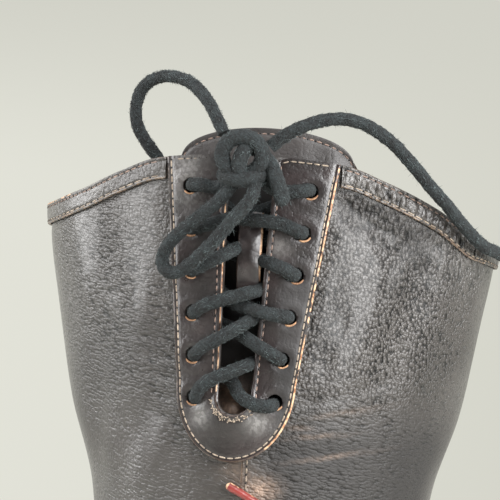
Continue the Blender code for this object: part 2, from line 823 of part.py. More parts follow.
def make_cord(name, route, radius, stuff, spacing):
    """A tube with closed ends along a route."""
    curve = bpy.data.curves.new(name, "CURVE")
    curve.dimensions = "3D"
    curve.bevel_depth = radius * MM
    curve.bevel_resolution = 2
    curve.use_fill_caps = True
    points = smooth_route(route, spacing)
    spline = curve.splines.new("POLY")
    spline.points.add(len(points) - 1)
    for spot, point in zip(spline.points, points):
        spot.co = (*(point * MM), 1.0)
    curve.materials.append(stuff)
    made = bpy.data.objects.new(name, curve)
    bpy.context.collection.objects.link(made)
    return made


def tube_mesh(bm, points, radius, sides=8):
    """A straight-sided tube through points, with closed ends."""
    rings = []
    for i, point in enumerate(points):
        ahead = points[min(i + 1, len(points) - 1)] - points[max(i - 1, 0)]
        turned = ahead.to_track_quat("Z", "Y").to_matrix()
        ring = []
        for k in range(sides):
            angle = 2 * math.pi * k / sides
            spoke = Vector((math.cos(angle), math.sin(angle), 0.0)) * radius
            ring.append(bm.verts.new(point + turned @ spoke))
        rings.append(ring)
    for a, b in zip(rings, rings[1:]):
        for k in range(sides):
            bm.faces.new((a[k], a[(k + 1) % sides], b[(k + 1) % sides], b[k]))
    bm.faces.new(rings[0][::-1])
    bm.faces.new(rings[-1])
    bmesh.ops.recalc_face_normals(bm, faces=bm.faces)


def strand(row, side):
    """Points of a strand: over the facing from its eyelet, then into the slit's far half."""
    clear = GAP + FACING_THICKNESS + GAP + LACE_RADIUS
    start_x, start_z = eyelet_place(row, side)
    end_x, end_z = eyelet_place(row + 1, -side)
    far = SLIT_HALF_LOW - LACE_RADIUS - 0.8
    reach = (-side * far - start_x) / (end_x - start_x)
    points = []
    for i in range(7):
        share = reach * i / 6
        sunk = 1.2 * ease((i - 3) / 3)
        x = start_x + (end_x - start_x) * share
        z = start_z + (end_z - start_z) * share
        points.append(front_lift(x, z, clear + 0.15 * side - sunk))
    return points


def make_crossing(row, stuff):
    """Two strands that cross in front of the slit, joined where they cross."""
    parts = []
    for side in (-1, 1):
        bm = bmesh.new()
        tube_mesh(bm, strand(row, side), LACE_RADIUS)
        name = f"lace_cross_{row + 1}" if side < 0 else f"lace_under_{row + 1}"
        parts.append(new_object(name, bm, stuff))
    over, under = parts
    under.hide_render = True
    under.display_type = "WIRE"
    join = over.modifiers.new("Join", "BOOLEAN")
    join.operation = "UNION"
    join.solver = "EXACT"
    join.object = under
    return over


def make_top_bar(stuff):
    """The strand between the two top eyelets, behind the knot."""
    clear = GAP + FACING_THICKNESS + GAP + LACE_RADIUS
    bm = bmesh.new()
    points = []
    for i in range(11):
        x, z = eyelet_place(EYELET_ROWS - 1, -1)
        points.append(front_lift(x * (1 - i / 5), z + 0.5 * math.sin(math.pi * i / 10), clear))
    tube_mesh(bm, points, LACE_RADIUS)
    return new_object("lace_top_bar", bm, stuff)


def make_knot(stuff):
    bm = bmesh.new()
    bmesh.ops.create_uvsphere(bm, u_segments=16, v_segments=10, radius=1.0)
    bmesh.ops.scale(bm, vec=KNOT_HALF_SIZE, verts=bm.verts)
    bmesh.ops.translate(bm, vec=KNOT_CENTRE, verts=bm.verts)
    return new_object("lace_knot", bm, stuff)


def make_thong(stuff):
    """A thin rolled thong that lies across the front seam."""
    bm = bmesh.new()
    clear = GAP + THONG_RADIUS
    route = smooth_route([(x, 0.0, z) for x, z in THONG_ROUTE], 2.5)
    tube_mesh(bm, [front_lift(p.x, p.z, clear) for p in route], THONG_RADIUS)
    return new_object("red_thong", bm, stuff)


def main():
    clear_scene()
    leather = material("shaft_leather", (0.205, 0.202, 0.195), 0.42)
    facing_leather = material("facing_leather", (0.09, 0.089, 0.09), 0.5)
    band_leather = material("band_leather", (0.27, 0.265, 0.255), 0.42)
    tongue_leather = material("tongue_leather", (0.11, 0.11, 0.112), 0.5)
    lace_suede = material("lace_suede", (0.05, 0.06, 0.062), 0.95)
    red_leather = material("red_leather", (0.27, 0.045, 0.04), 0.5)
    sole_leather = material("sole_leather", (0.05, 0.042, 0.036), 0.55)
    welt_leather = material("welt_leather", (0.07, 0.05, 0.038), 0.6)
    heel_leather = material("heel_leather", (0.06, 0.045, 0.035), 0.5)
    rubber = material("top_piece_rubber", (0.02, 0.02, 0.02), 0.8)
    insole_leather = material("insole_leather", (0.36, 0.25, 0.15), 0.7)

    cutter = make_throat_cutter()
    make_upper(leather, cutter)
    make_facing(facing_leather, cutter)
    make_tongue(tongue_leather)
    make_keeper(tongue_leather)
    make_band(band_leather)
    make_outsole(sole_leather)
    make_insole(insole_leather)
    make_welt(welt_leather)
    make_heel_lift(
        "heel_stack", heel_leather, TOP_PIECE_HEIGHT + GAP, HEEL_HEIGHT - GAP, 1.6, 0.4
    )
    make_heel_lift("heel_top_piece", rubber, 0.0, TOP_PIECE_HEIGHT, 2.0, 1.6)
    for row in range(EYELET_ROWS - 1):
        make_crossing(row, lace_suede)
    make_top_bar(lace_suede)
    make_knot(lace_suede)
    make_cord("lace_tail_left", TAIL_LEFT_ROUTE, LACE_RADIUS, lace_suede, 7.0)
    make_cord("lace_tail_right", TAIL_RIGHT_ROUTE, LACE_RADIUS, lace_suede, 7.0)
    make_cord("lace_loop", LOOP_ROUTE, LACE_RADIUS, lace_suede, 5.0)
    make_cord("lace_stub", STUB_ROUTE, LACE_RADIUS, lace_suede, 5.0)
    make_thong(red_leather)


main()
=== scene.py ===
# %% [markdown]
# # A knee-high riding boot
# The boot stands empty on its sole, and the photograph shows the laced top of its shaft.
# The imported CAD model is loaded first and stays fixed, so every piece below goes where it says.

# %% Load the frame
import math
from functools import lru_cache

import bmesh
import bpy
import numpy as np
from mathutils import Matrix, Vector, noise


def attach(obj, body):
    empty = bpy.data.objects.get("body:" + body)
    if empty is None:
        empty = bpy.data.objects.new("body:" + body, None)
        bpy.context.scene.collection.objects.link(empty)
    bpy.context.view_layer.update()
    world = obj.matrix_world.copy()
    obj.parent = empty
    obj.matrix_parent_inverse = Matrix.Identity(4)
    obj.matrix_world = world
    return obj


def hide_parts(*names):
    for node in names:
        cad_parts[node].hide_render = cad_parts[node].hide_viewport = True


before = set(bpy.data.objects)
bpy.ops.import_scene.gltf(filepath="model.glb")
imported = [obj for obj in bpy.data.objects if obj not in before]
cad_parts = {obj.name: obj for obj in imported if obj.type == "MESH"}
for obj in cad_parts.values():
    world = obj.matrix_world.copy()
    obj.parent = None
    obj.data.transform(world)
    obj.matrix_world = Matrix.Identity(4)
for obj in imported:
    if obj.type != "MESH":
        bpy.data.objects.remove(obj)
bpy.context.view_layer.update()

MM = 0.001

# %% [markdown]
# ## The camera
# A long lens looks straight at the collar, a little from the inner side, and the boot leans in the
# picture. Lining the camera up by hand would drift, so its place is worked out from three angles:
# round the boot, above the horizon, and the roll about the line of sight.

# %% Camera
CAMERA_TARGET = Vector((1.71, -14.0, 402.47))
CAMERA_DISTANCE = 600.0
AZIMUTH, ELEVATION, ROLL = (math.radians(a) for a in (7.959, 0.106, 2.959))

forward = Vector((
    -math.sin(AZIMUTH) * math.cos(ELEVATION),
    math.cos(AZIMUTH) * math.cos(ELEVATION),
    -math.sin(ELEVATION),
))
level_right = Vector((math.cos(AZIMUTH), math.sin(AZIMUTH), 0.0))
level_up = level_right.cross(forward)
image_right = level_right * math.cos(ROLL) + level_up * math.sin(ROLL)
image_up = level_up * math.cos(ROLL) - level_right * math.sin(ROLL)
camera_data = bpy.data.cameras.new("Camera")
camera_data.lens = 151.53
camera_data.sensor_width = 36.0
camera_data.clip_start = 0.01
camera = bpy.data.objects.new("Camera", camera_data)
bpy.context.collection.objects.link(camera)
camera.matrix_world = (
    Matrix.Translation((CAMERA_TARGET - forward * CAMERA_DISTANCE) * MM)
    @ Matrix((image_right, image_up, -forward)).transposed().to_4x4()
)
bpy.context.scene.camera = camera
bpy.context.scene.view_settings.view_transform = "Standard"
print("camera at, mm:", [round(v / MM, 1) for v in camera.location])

# %% [markdown]
# ## Sizes
# These are the sizes that the CAD solids were made from, in millimetres. The toe points along -Y,
# the inner (medial) side is +X. Short tables hold one row for each section, and a cubic runs
# through the rows, so a fine mesh made here lies on the same form as the coarse solid.

# %% Sizes of the boot
GAP = 0.3
UPPER_GAP = 0.8
FEATHER_LENGTH, FEATHER_HEEL_Y = 271.0, 137.5
TOE_ROUND, HEEL_ROUND = 42.0, 30.0
HEEL_HEIGHT, TOE_SPRING, SOLE_THICKNESS = 26.0, 9.0, 5.0
SOLE_MARGIN_FORE, SOLE_MARGIN_HEEL = 7.0, 3.5
FLAT_SPOT = (0.66, 0.80)
HEEL_BREAST, TOP_PIECE_HEIGHT, HEEL_PITCH = 0.30, 7.0, 4.0
WELT_THICKNESS, WELT_INSET = 3.0, 2.6
INSOLE_THICKNESS, INSOLE_CLEAR = 3.0, 3.2
UPPER_WALL, TUCK = 2.2, 3.0
SHAFT_BASE_Z, BACK_RUN = 185.0, 156.0
HEEL_BLEND, HEEL_SOFTNESS = 78.0, 45.0
COLLAR_FRONT = 430.0
FACING_THICKNESS = 1.4
FACING_HALF_TOP, FACING_HALF_LOW = 24.8, 17.0
FACING_STRAIGHT, FACING_LENGTH = 66.0, 88.5
SLIT_HALF_TOP, SLIT_HALF_LOW, SLIT_STRAIGHT = 6.8, 4.7, 70.0
SLIT_BOTTOM = COLLAR_FRONT - SLIT_STRAIGHT - SLIT_HALF_LOW
EYELET_ROWS, EYELET_FIRST, EYELET_PITCH = 6, 10.0, 12.1
EYELET_HALF_TOP, EYELET_HALF_LOW, EYELET_RADIUS = 17.0, 11.5, 2.2
FACING_LEAN, FACING_MIDDLE = 0.025, 36.0
LACE_RADIUS = 1.9
BAND_WIDTH, BAND_THICKNESS = 6.4, 1.0
TONGUE_THICKNESS, TONGUE_HALF, TONGUE_SHIFT = 1.5, 27.5, 4.0
TONGUE_PROUD, TONGUE_ARCH, TONGUE_LENGTH = 8.0, 11.0, 84.0
TONGUE_GAP_LOW, TONGUE_GAP_TOP = 0.6, 4.2
THONG_RADIUS = 1.2
print("facing, mm:", 2 * FACING_HALF_TOP, "by", FACING_LENGTH)

# %% Tables of the last
FEATHER_ROWS = (
    # share from the heel, lateral, medial, centre_x
    (0.00, 30.0, 30.0, -1.0),
    (0.16, 31.0, 29.5, -1.0),
    (0.42, 30.0, 26.5, -2.5),
    (0.70, 44.0, 41.5, -2.0),
    (0.86, 39.0, 38.0, 2.5),
    (1.00, 32.0, 31.0, 5.0),
)
FOOT_ROWS = (
    # share, front_y, front_z, bulge, widest, front_power, back_power
    (0.00, -1.5, 139.0, 4.5, 0.36, 1.95, 1.7),
    (0.15, -4.0, 129.0, 4.0, 0.36, 1.90, 1.3),
    (0.30, -9.0, 118.0, 4.5, 0.34, 1.80, 1.3),
    (0.45, -20.0, 103.0, 5.0, 0.32, 1.75, 1.5),
    (0.60, -38.0, 84.0, 4.0, 0.30, 1.90, 2.0),
    (0.72, -60.0, 68.0, TUCK, 0.28, 2.10, 2.0),
    (0.84, -90.0, 55.0, TUCK, 0.28, 2.30, 2.0),
    (1.00, -133.5, 51.0, TUCK, 0.28, 2.40, 2.0),
)
ANKLE_ROWS = (
    # step, back_y, back_z, front_y, front_z, half, widest, back_power
    (0.0, 137.5, 31.8, -1.5, 139.0, 34.5, 0.36, 1.7),
    (1.0, 139.3, 58.0, -1.0, 144.0, 35.5, 0.38, 1.9),
    (2.0, 136.0, 90.0, -0.5, 150.0, 37.0, 0.42, 2.0),
    (3.0, 126.0, 125.0, -0.5, 158.0, 38.5, 0.46, 2.0),
    (4.0, 118.0, 155.0, -1.0, 169.0, 40.2, 0.49, 2.0),
    (4.5, 115.8, 170.0, -1.5, 177.0, 41.1, 0.50, 2.0),
    (5.0, 115.0, SHAFT_BASE_Z, -2.0, SHAFT_BASE_Z, 42.0, 0.50, 2.0),
)
SHAFT_ROWS = (
    # z, back_y, front_y, half
    (SHAFT_BASE_Z, 115.0, -2.0, 42.0),
    (200.0, 115.3, -3.0, 43.0),
    (230.0, 117.5, -5.0, 45.3),
    (290.0, 121.0, -9.0, 49.0),
    (327.0, 120.5, -11.0, 53.3),
    (354.0, 118.5, -12.0, 60.8),
    (385.0, 114.5, -12.5, 66.7),
    (405.0, 112.0, -12.5, 69.8),
    (445.0, 109.0, -12.0, 72.0),
)
COLLAR_ROWS = (
    # degrees from the front, lateral_drop, medial_drop
    (0.0, 0.0, 0.0),
    (22.0, 2.1, 2.1),
    (33.0, 6.2, 6.2),
    (48.0, 12.0, 12.7),
    (66.0, 15.6, 20.9),
    (98.0, 17.5, 23.4),
    (120.0, 21.5, 21.8),
    (150.0, 26.0, 25.5),
    (180.0, 28.0, 28.0),
)
print("tables:", len(FOOT_ROWS), "foot,", len(ANKLE_ROWS), "ankle,", len(SHAFT_ROWS), "shaft rows")

# %% [markdown]
# ## Reading the tables
# A straight line between rows would leave a kink at each row. A cubic with matched slopes doesn't,
# and holding the slope flat where a column turns round keeps it from overshooting.

# %% Small mathematics
def lerp(a, b, t):
    return a + (b - a) * t


def ease(t):
    """Goes from 0 to 1 with level ends; takes a number or an array."""
    t = np.clip(t, 0.0, 1.0)
    return t * t * (3 - 2 * t)


print("half-way, eased:", float(ease(0.5)))

# %% Smooth tables
def slope_at(rows, index, column):
    slopes = []
    for first in (index - 1, index):
        if 0 <= first < len(rows) - 1:
            rise = rows[first + 1][column] - rows[first][column]
            slopes.append(rise / (rows[first + 1][0] - rows[first][0]))
    if len(slopes) == 1:
        return slopes[0]
    if slopes[0] * slopes[1] <= 0:
        return 0.0
    return 2 * slopes[0] * slopes[1] / (slopes[0] + slopes[1])


@lru_cache(maxsize=60000)
def smooth_row(rows, at):
    """The columns of a table at a value of its first column."""
    if at <= rows[0][0]:
        return rows[0][1:]
    if at >= rows[-1][0]:
        return rows[-1][1:]
    low = max(i for i in range(len(rows) - 1) if rows[i][0] <= at)
    span = rows[low + 1][0] - rows[low][0]
    t = (at - rows[low][0]) / span
    found = []
    for column in range(1, len(rows[0])):
        start, end = rows[low][column], rows[low + 1][column]
        leave = slope_at(rows, low, column) * span
        arrive = slope_at(rows, low + 1, column) * span
        found.append(
            (2 * t**3 - 3 * t**2 + 1) * start + (t**3 - 2 * t**2 + t) * leave
            + (-2 * t**3 + 3 * t**2) * end + (t**3 - t**2) * arrive
        )
    return tuple(found)


print("collar height at the back:", COLLAR_FRONT - smooth_row(COLLAR_ROWS, 180.0)[0])

# %% Rounded ends
def round_end(distance, length):
    """Share of the full width at a distance from a rounded end."""
    if distance >= length:
        return 1.0
    return math.sqrt(max(0.0, 1 - (1 - distance / length) ** 2))


def end_steps(length, steps):
    """Distances from a rounded end, close together where the outline turns."""
    return [length * (1 - math.cos(math.pi / 2 * i / steps)) for i in range(steps + 1)]


print("steps round the toe, mm:", [round(d, 1) for d in end_steps(TOE_ROUND, 4)])

# %% [markdown]
# ## The form of the foot and shaft
# A last is described by its sections. Each section is half of a squashed oval from the front line
# to the back line, and `turn` says where on it a point is: 0 at the front, -1 and 1 at the back.
# The same functions serve the leather, its seams and everything sewn on it.

# %% The sole's outline and profile
def share_at(y):
    return (FEATHER_HEEL_Y - y) / FEATHER_LENGTH


def feather_edges(y, margin=0.0):
    """Lateral and medial x of the upper's bottom edge at y, moved out by a margin."""
    share = share_at(y)
    lateral, medial, centre = smooth_row(FEATHER_ROWS, share)
    from_toe = (1 - share) * FEATHER_LENGTH + margin
    from_heel = share * FEATHER_LENGTH + margin
    rounding = round_end(from_toe, TOE_ROUND + margin) * round_end(from_heel, HEEL_ROUND + margin)
    return centre - (lateral + margin) * rounding, centre + (medial + margin) * rounding


def tread_height(y):
    share = share_at(y)
    if share > FLAT_SPOT[1]:
        return TOE_SPRING * ((share - FLAT_SPOT[1]) / (1 - FLAT_SPOT[1])) ** 2
    return HEEL_HEIGHT * float(ease((FLAT_SPOT[0] - share) / (FLAT_SPOT[0] - HEEL_BREAST)))


def sole_top(y):
    return tread_height(y) + SOLE_THICKNESS


def sole_margin(y):
    forward_share = float(ease((share_at(y) - HEEL_BREAST) / 0.2))
    return lerp(SOLE_MARGIN_HEEL, SOLE_MARGIN_FORE, forward_share)


def outline_ys(margin_toe, margin_heel, step, toe_steps=14, heel_steps=12):
    """Stations along Y from the toe's end to the heel's end."""
    toe = FEATHER_HEEL_Y - FEATHER_LENGTH - margin_toe
    heel = FEATHER_HEEL_Y + margin_heel
    front = [toe + d for d in end_steps(TOE_ROUND + margin_toe, toe_steps)]
    back = [heel - d for d in end_steps(HEEL_ROUND + margin_heel, heel_steps)][::-1]
    count = max(1, round((back[0] - front[-1]) / step))
    return front + [lerp(front[-1], back[0], i / count) for i in range(1, count)] + back


print("sole, mm:", round(FEATHER_LENGTH + SOLE_MARGIN_FORE + SOLE_MARGIN_HEEL, 1))

# %% Sections of the last
def section_point(back, front, centre, halves, feathers, widest, powers, turn):
    side = -1 if turn < 0 else 1
    half = halves[0] if side < 0 else halves[1]
    feather = feathers[0] if side < 0 else feathers[1]
    part = abs(turn)
    if part <= 0.5:
        angle = part * math.pi
        out = half * math.sin(angle) ** (2 / powers[0])
        along = widest + (1 - widest) * max(0.0, math.cos(angle)) ** (2 / powers[0])
    else:
        angle = (part - 0.5) * math.pi
        out = feather + (half - feather) * max(0.0, math.cos(angle)) ** (2 / powers[1])
        along = widest * (1 - math.sin(angle) ** (2 / powers[1]))
    return Vector((
        centre + side * out, lerp(back[0], front[0], along), lerp(back[1], front[1], along)
    ))


@lru_cache(maxsize=20000)
def foot_frame(y):
    """What every point of the foot section that starts at y has in common."""
    share = share_at(y)
    front_y, front_z, bulge, widest, front_power, back_power = smooth_row(FOOT_ROWS, share)
    lateral, medial, centre = smooth_row(FEATHER_ROWS, share)
    lateral_x, medial_x = feather_edges(y)
    bottom = sole_top(y) + UPPER_GAP
    rounding = round_end((1 - share) * FEATHER_LENGTH, TOE_ROUND)
    halves = tuple((half + bulge) * rounding for half in (lateral, medial))
    lean = (front_y - y) * rounding if share < 0.8 else 0.0
    front = (y + lean, bottom + (front_z - bottom) * rounding)
    feathers = (centre - lateral_x, medial_x - centre)
    return (y, bottom), front, centre, halves, feathers, widest, (front_power, back_power)


print("toe's section, mm high:", round(foot_frame(-90.0)[1][1], 1))

# %% Surface of the foot
def lasted_point(run, turn):
    """Point at a run along the bottom edge from the toe, then up the heel's back."""
    if run <= FEATHER_LENGTH:
        return section_point(*foot_frame(FEATHER_HEEL_Y - FEATHER_LENGTH + run), turn)
    step = min(ANKLE_ROWS[-1][0], ANKLE_ROWS[-1][0] * (run - FEATHER_LENGTH) / BACK_RUN)
    back_y, back_z, front_y, front_z, half, widest, power = smooth_row(ANKLE_ROWS, step)
    centre = FEATHER_ROWS[0][3] * (1 - float(ease(step / ANKLE_ROWS[-1][0])))
    return section_point(
        (back_y, back_z), (front_y, front_z), centre, (half, half), (0.0, 0.0), widest,
        (1.95, power), turn,
    )


def foot_point(run, turn):
    """Point of the foot, eased where the sections swing from the sole to the heel's back."""
    near = max(0.0, 1 - abs(run - FEATHER_LENGTH) / HEEL_BLEND)
    reach = HEEL_SOFTNESS * near * float(ease(3 * (1 - abs(turn))))
    total = Vector((0.0, 0.0, 0.0))
    for k, weight in ((-1.0, 1), (-0.5, 2), (0.0, 3), (0.5, 2), (1.0, 1)):
        total += lasted_point(round(run + k * reach, 4), turn) * weight
    return total / 9


print("back of the heel, mm:", [round(v, 1) for v in foot_point(FEATHER_LENGTH + 30.0, 1.0)])

# %% Surface of the shaft
def shaft_point(turn, z):
    back_y, front_y, half = smooth_row(SHAFT_ROWS, round(z, 4))
    angle = turn * math.pi
    middle, reach = (back_y + front_y) / 2, (back_y - front_y) / 2
    return Vector((half * math.sin(angle), middle - reach * math.cos(angle), z))


def shaft_lift(turn, z, lift):
    """Point off the shaft's outer face, along its normal."""
    around = shaft_point(turn + 0.002, z) - shaft_point(turn - 0.002, z)
    rise = shaft_point(turn, z + 1.0) - shaft_point(turn, z - 1.0)
    return shaft_point(turn, z) + around.cross(rise).normalized() * lift


def front_turn(x, z):
    half = smooth_row(SHAFT_ROWS, round(z, 4))[2]
    return math.copysign(math.asin(min(1.0, abs(x) / half)) / math.pi, x)


def front_lift(x, z, lift):
    """Point off the shaft's front at sideways place x and height z."""
    return shaft_lift(front_turn(x, z), z, lift)


print("shaft at its base, mm wide:", round(2 * shaft_point(0.5, SHAFT_BASE_Z).x, 1))

# %% Collar, facing and eyelets on the shaft
@lru_cache(maxsize=20000)
def collar_height(turn):
    lateral_drop, medial_drop = smooth_row(COLLAR_ROWS, abs(turn) * 180.0)
    return COLLAR_FRONT - (lateral_drop if turn < 0 else medial_drop)


def collar_at(x):
    return collar_height(front_turn(x, COLLAR_FRONT))


def leaned(x, z):
    """Sideways place on the facing, whose middle line leans a little to the medial side."""
    return x + FACING_LEAN * (z - (COLLAR_FRONT - FACING_MIDDLE))


def eyelet_place(row, side):
    """Sideways place and height of an eyelet; row 0 is the lowest."""
    down = EYELET_FIRST + EYELET_PITCH * (EYELET_ROWS - 1 - row)
    half = lerp(EYELET_HALF_LOW, EYELET_HALF_TOP, row / (EYELET_ROWS - 1))
    return leaned(side * half, COLLAR_FRONT - down), COLLAR_FRONT - down


print("collar, mm wide:", round(2 * shaft_point(0.5, collar_height(0.5)).x, 1))

# %% [markdown]
# ## Helpers for meshes
# Most pieces here are leather sheets or cords, so they start as a flat grid from one operator.
# Each point of the grid is then moved to its place by a function of its column and row. That
# beats placing points by hand, because a change of size moves every piece that depends on it.

# %% Grids
def wrapped_grid(columns, rows, place, masks=None):
    """A grid whose point in column i and row j goes to place(i, j), with named masks on it."""
    bm = bmesh.new()
    layers = [(bm.verts.layers.float.new(name), mask) for name, mask in (masks or {}).items()]
    bmesh.ops.create_grid(bm, x_segments=columns, y_segments=rows, size=1.0)
    for vert in bm.verts:
        i = round((vert.co.x + 1) * columns / 2)
        j = round((vert.co.y + 1) * rows / 2)
        for layer, mask in layers:
            vert[layer] = mask(i, j)
        vert.co = place(i, j)
    return bm


def close_seams(bm, dist=0.002):
    """Joins edges that meet and fills the open ends."""
    bmesh.ops.remove_doubles(bm, verts=bm.verts, dist=dist)
    ends = [edge for edge in bm.edges if edge.is_boundary]
    if ends:
        bmesh.ops.holes_fill(bm, edges=ends, sides=0)
    bmesh.ops.recalc_face_normals(bm, faces=bm.faces)


sample = wrapped_grid(2, 2, lambda i, j: Vector((i, j, 0)))
print("points in a small grid:", len(sample.verts))
sample.free()

# %% Pieces
def new_piece(name, bm, materials, sharp=50.0):
    """An object at the origin from a mesh in millimetres, shaded smooth up to an angle."""
    bmesh.ops.scale(bm, vec=(MM, MM, MM), verts=bm.verts)
    for face in bm.faces:
        face.smooth = True
    mesh = bpy.data.meshes.new(name)
    bm.to_mesh(mesh)
    bm.free()
    for stuff in materials:
        mesh.materials.append(stuff)
    mesh.set_sharp_from_angle(angle=math.radians(sharp))
    made = bpy.data.objects.new(name, mesh)
    bpy.context.collection.objects.link(made)
    return made


def wear(made, slot, *nodes):
    """Puts a piece on the boot: its body and the solids that it stands for. The slot is not used."""
    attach(made, "root")
    if nodes:
        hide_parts(*nodes)
    print(made.name, len(made.data.vertices), "vertices")
    return made


def apply_modifiers(made):
    graph = bpy.context.evaluated_depsgraph_get()
    mesh = bpy.data.meshes.new_from_object(made.evaluated_get(graph), depsgraph=graph)
    made.modifiers.clear()
    made.data = mesh


print("piece helpers ready")

# %% Routes
CURVE_STEPS = 24


def smooth_route(points, spacing):
    """Evenly spaced points on a curve through given places."""
    spots = [Vector(p) for p in points]
    ends = [2 * spots[0] - spots[1]] + spots + [2 * spots[-1] - spots[-2]]
    fine = []
    for a, b, c, d in zip(ends, ends[1:], ends[2:], ends[3:]):
        for i in range(CURVE_STEPS):
            t = i / CURVE_STEPS
            fine.append(0.5 * (
                2 * b + (c - a) * t + (2 * a - 5 * b + 4 * c - d) * t * t
                + (3 * b - a - 3 * c + d) * t**3
            ))
    fine.append(spots[-1])
    total = sum((q - p).length for p, q in zip(fine, fine[1:]))
    count = max(2, round(total / spacing))
    kept = [fine[0]]
    walked = 0.0
    for p, q in zip(fine, fine[1:]):
        step = (q - p).length
        while len(kept) < count and walked + step >= len(kept) * total / count:
            kept.append(p.lerp(q, (len(kept) * total / count - walked) / max(step, 1e-9)))
        walked += step
    kept.append(fine[-1])
    return kept


print("points on a short route:", len(smooth_route([(0, 0, 0), (1, 2, 0), (3, 3, 0)], 0.5)))

# %% [markdown]
# ## Shared effects
# Grain, mottling and raw edges show on several leathers, so each is a node group that is built
# once. Pebbles come from the distance to the middle of Voronoi cells, raised to a power: each cell
# becomes a flat-topped dome, and sharp valleys are left between the domes. Cells that are stretched
# and slanted give the fine creases of worn leather. Ridged noise would be simpler, but it looks
# like worm tracks.

# %% Node helpers
def add(tree, kind, sockets=None, **settings):
    """A shader node with its settings, and its inputs linked or set."""
    made = tree.nodes.new("ShaderNode" + kind)
    for name, value in settings.items():
        setattr(made, name, value)
    for key, value in (sockets or {}).items():
        if isinstance(value, bpy.types.NodeSocket):
            tree.links.new(value, made.inputs[key])
        else:
            made.inputs[key].default_value = value
    return made


def maths(tree, operation, a, b=0.5, clamp=False):
    return add(tree, "Math", {0: a, 1: b}, operation=operation, use_clamp=clamp).outputs[0]


def mix(tree, amount, a, b, blend="MIX"):
    """A mix of two colours."""
    colours = {
        key: (*value, 1.0) if isinstance(value, tuple) else value for key, value in ((6, a), (7, b))
    }
    return add(
        tree, "Mix", {0: amount, **colours}, data_type="RGBA", blend_type=blend
    ).outputs[2]


def ramp(tree, value, low, high, to_low=0.0, to_high=1.0):
    return add(
        tree, "MapRange", {0: value, 1: low, 2: high, 3: to_low, 4: to_high},
        interpolation_type="SMOOTHSTEP",
    ).outputs[0]


def new_group(name, inputs, outputs):
    tree = bpy.data.node_groups.new(name, "ShaderNodeTree")
    for label in inputs:
        tree.interface.new_socket(label, in_out="INPUT", socket_type="NodeSocketFloat")
    for label, kind in outputs:
        tree.interface.new_socket(label, in_out="OUTPUT", socket_type="NodeSocket" + kind)
    return tree, tree.nodes.new("NodeGroupInput"), tree.nodes.new("NodeGroupOutput")


def use_group(tree, group, sockets):
    return add(tree, "Group", sockets, node_tree=group).outputs


def noise_at(tree, spot, scale, detail, output="Fac"):
    return add(tree, "TexNoise", {"Vector": spot, "Scale": scale, "Detail": detail}).outputs[output]


print("node helpers ready")

# %% Grain group
GRAINS = (
    # name, stretch of the cells, slant, cells per metre
    ("Pebble", (1.0, 1.0, 0.85), 0.0, 1060.0),
    ("Across", (0.40, 0.40, 1.15), -0.2, 1150.0),
    ("Upright", (1.0, 1.0, 0.6), 0.0, 780.0),
)
DOME_POWER, DOME_DEPTH = 3.2, -2.5
grain_labels = (*(label for label, *_ in GRAINS), "Fine")
grain_group, inward, outward = new_group(
    "leather_grain", grain_labels, (("Height", "Float"), ("Shade", "Float"))
)
spot = add(grain_group, "TexCoord").outputs["Object"]
bent = noise_at(grain_group, spot, 200.0, 2.0, "Color")
fray = noise_at(grain_group, spot, 900.0, 1.0, "Color")
for source, reach in ((bent, 0.0012), (fray, 0.0003)):
    offset = add(grain_group, "VectorMath", {0: source, 1: (0.5,) * 3}, operation="SUBTRACT")
    offset = add(
        grain_group, "VectorMath", {0: offset.outputs[0], 1: (reach,) * 3}, operation="MULTIPLY"
    )
    spot = add(grain_group, "VectorMath", {0: spot, 1: offset.outputs[0]}).outputs[0]
height = None
for label, stretch, slant, cells in GRAINS:
    turned = add(grain_group, "VectorRotate", {"Vector": spot, "Angle": slant}, rotation_type="Y_AXIS")
    stretched = add(grain_group, "Mapping", {"Vector": turned.outputs[0], "Scale": stretch}).outputs[0]
    away = add(grain_group, "TexVoronoi", {"Vector": stretched, "Scale": cells}).outputs["Distance"]
    sunk = maths(grain_group, "MULTIPLY", maths(grain_group, "POWER", away, DOME_POWER), DOME_DEPTH)
    part = maths(grain_group, "MULTIPLY", sunk, inward.outputs[label])
    height = part if height is None else maths(grain_group, "ADD", height, part)
worn = noise_at(grain_group, spot, 85.0, 2.0)
height = maths(grain_group, "MULTIPLY", height, ramp(grain_group, worn, 0.36, 0.62, 0.6, 1.0))
pores = maths(grain_group, "SUBTRACT", noise_at(grain_group, spot, 1500.0, 3.0), 0.5)
pores = maths(grain_group, "MULTIPLY", pores, inward.outputs["Fine"])
grain_group.links.new(maths(grain_group, "ADD", height, pores), outward.inputs["Height"])
grain_group.links.new(maths(grain_group, "ADD", height, 1.0, clamp=True), outward.inputs["Shade"])
print("kinds of grain:", grain_labels)

# %% Mottle and raw edge groups
mottle_group, inward, outward = new_group(
    "mottle", ("Scale",), (("Cloud", "Float"), ("Speck", "Float"))
)
spot = add(mottle_group, "TexCoord").outputs["Object"]
cloud = noise_at(mottle_group, spot, inward.outputs["Scale"], 4.0)
speck = noise_at(mottle_group, spot, 900.0, 2.0)
mottle_group.links.new(ramp(mottle_group, cloud, 0.32, 0.68), outward.inputs["Cloud"])
mottle_group.links.new(ramp(mottle_group, speck, 0.42, 0.62), outward.inputs["Speck"])

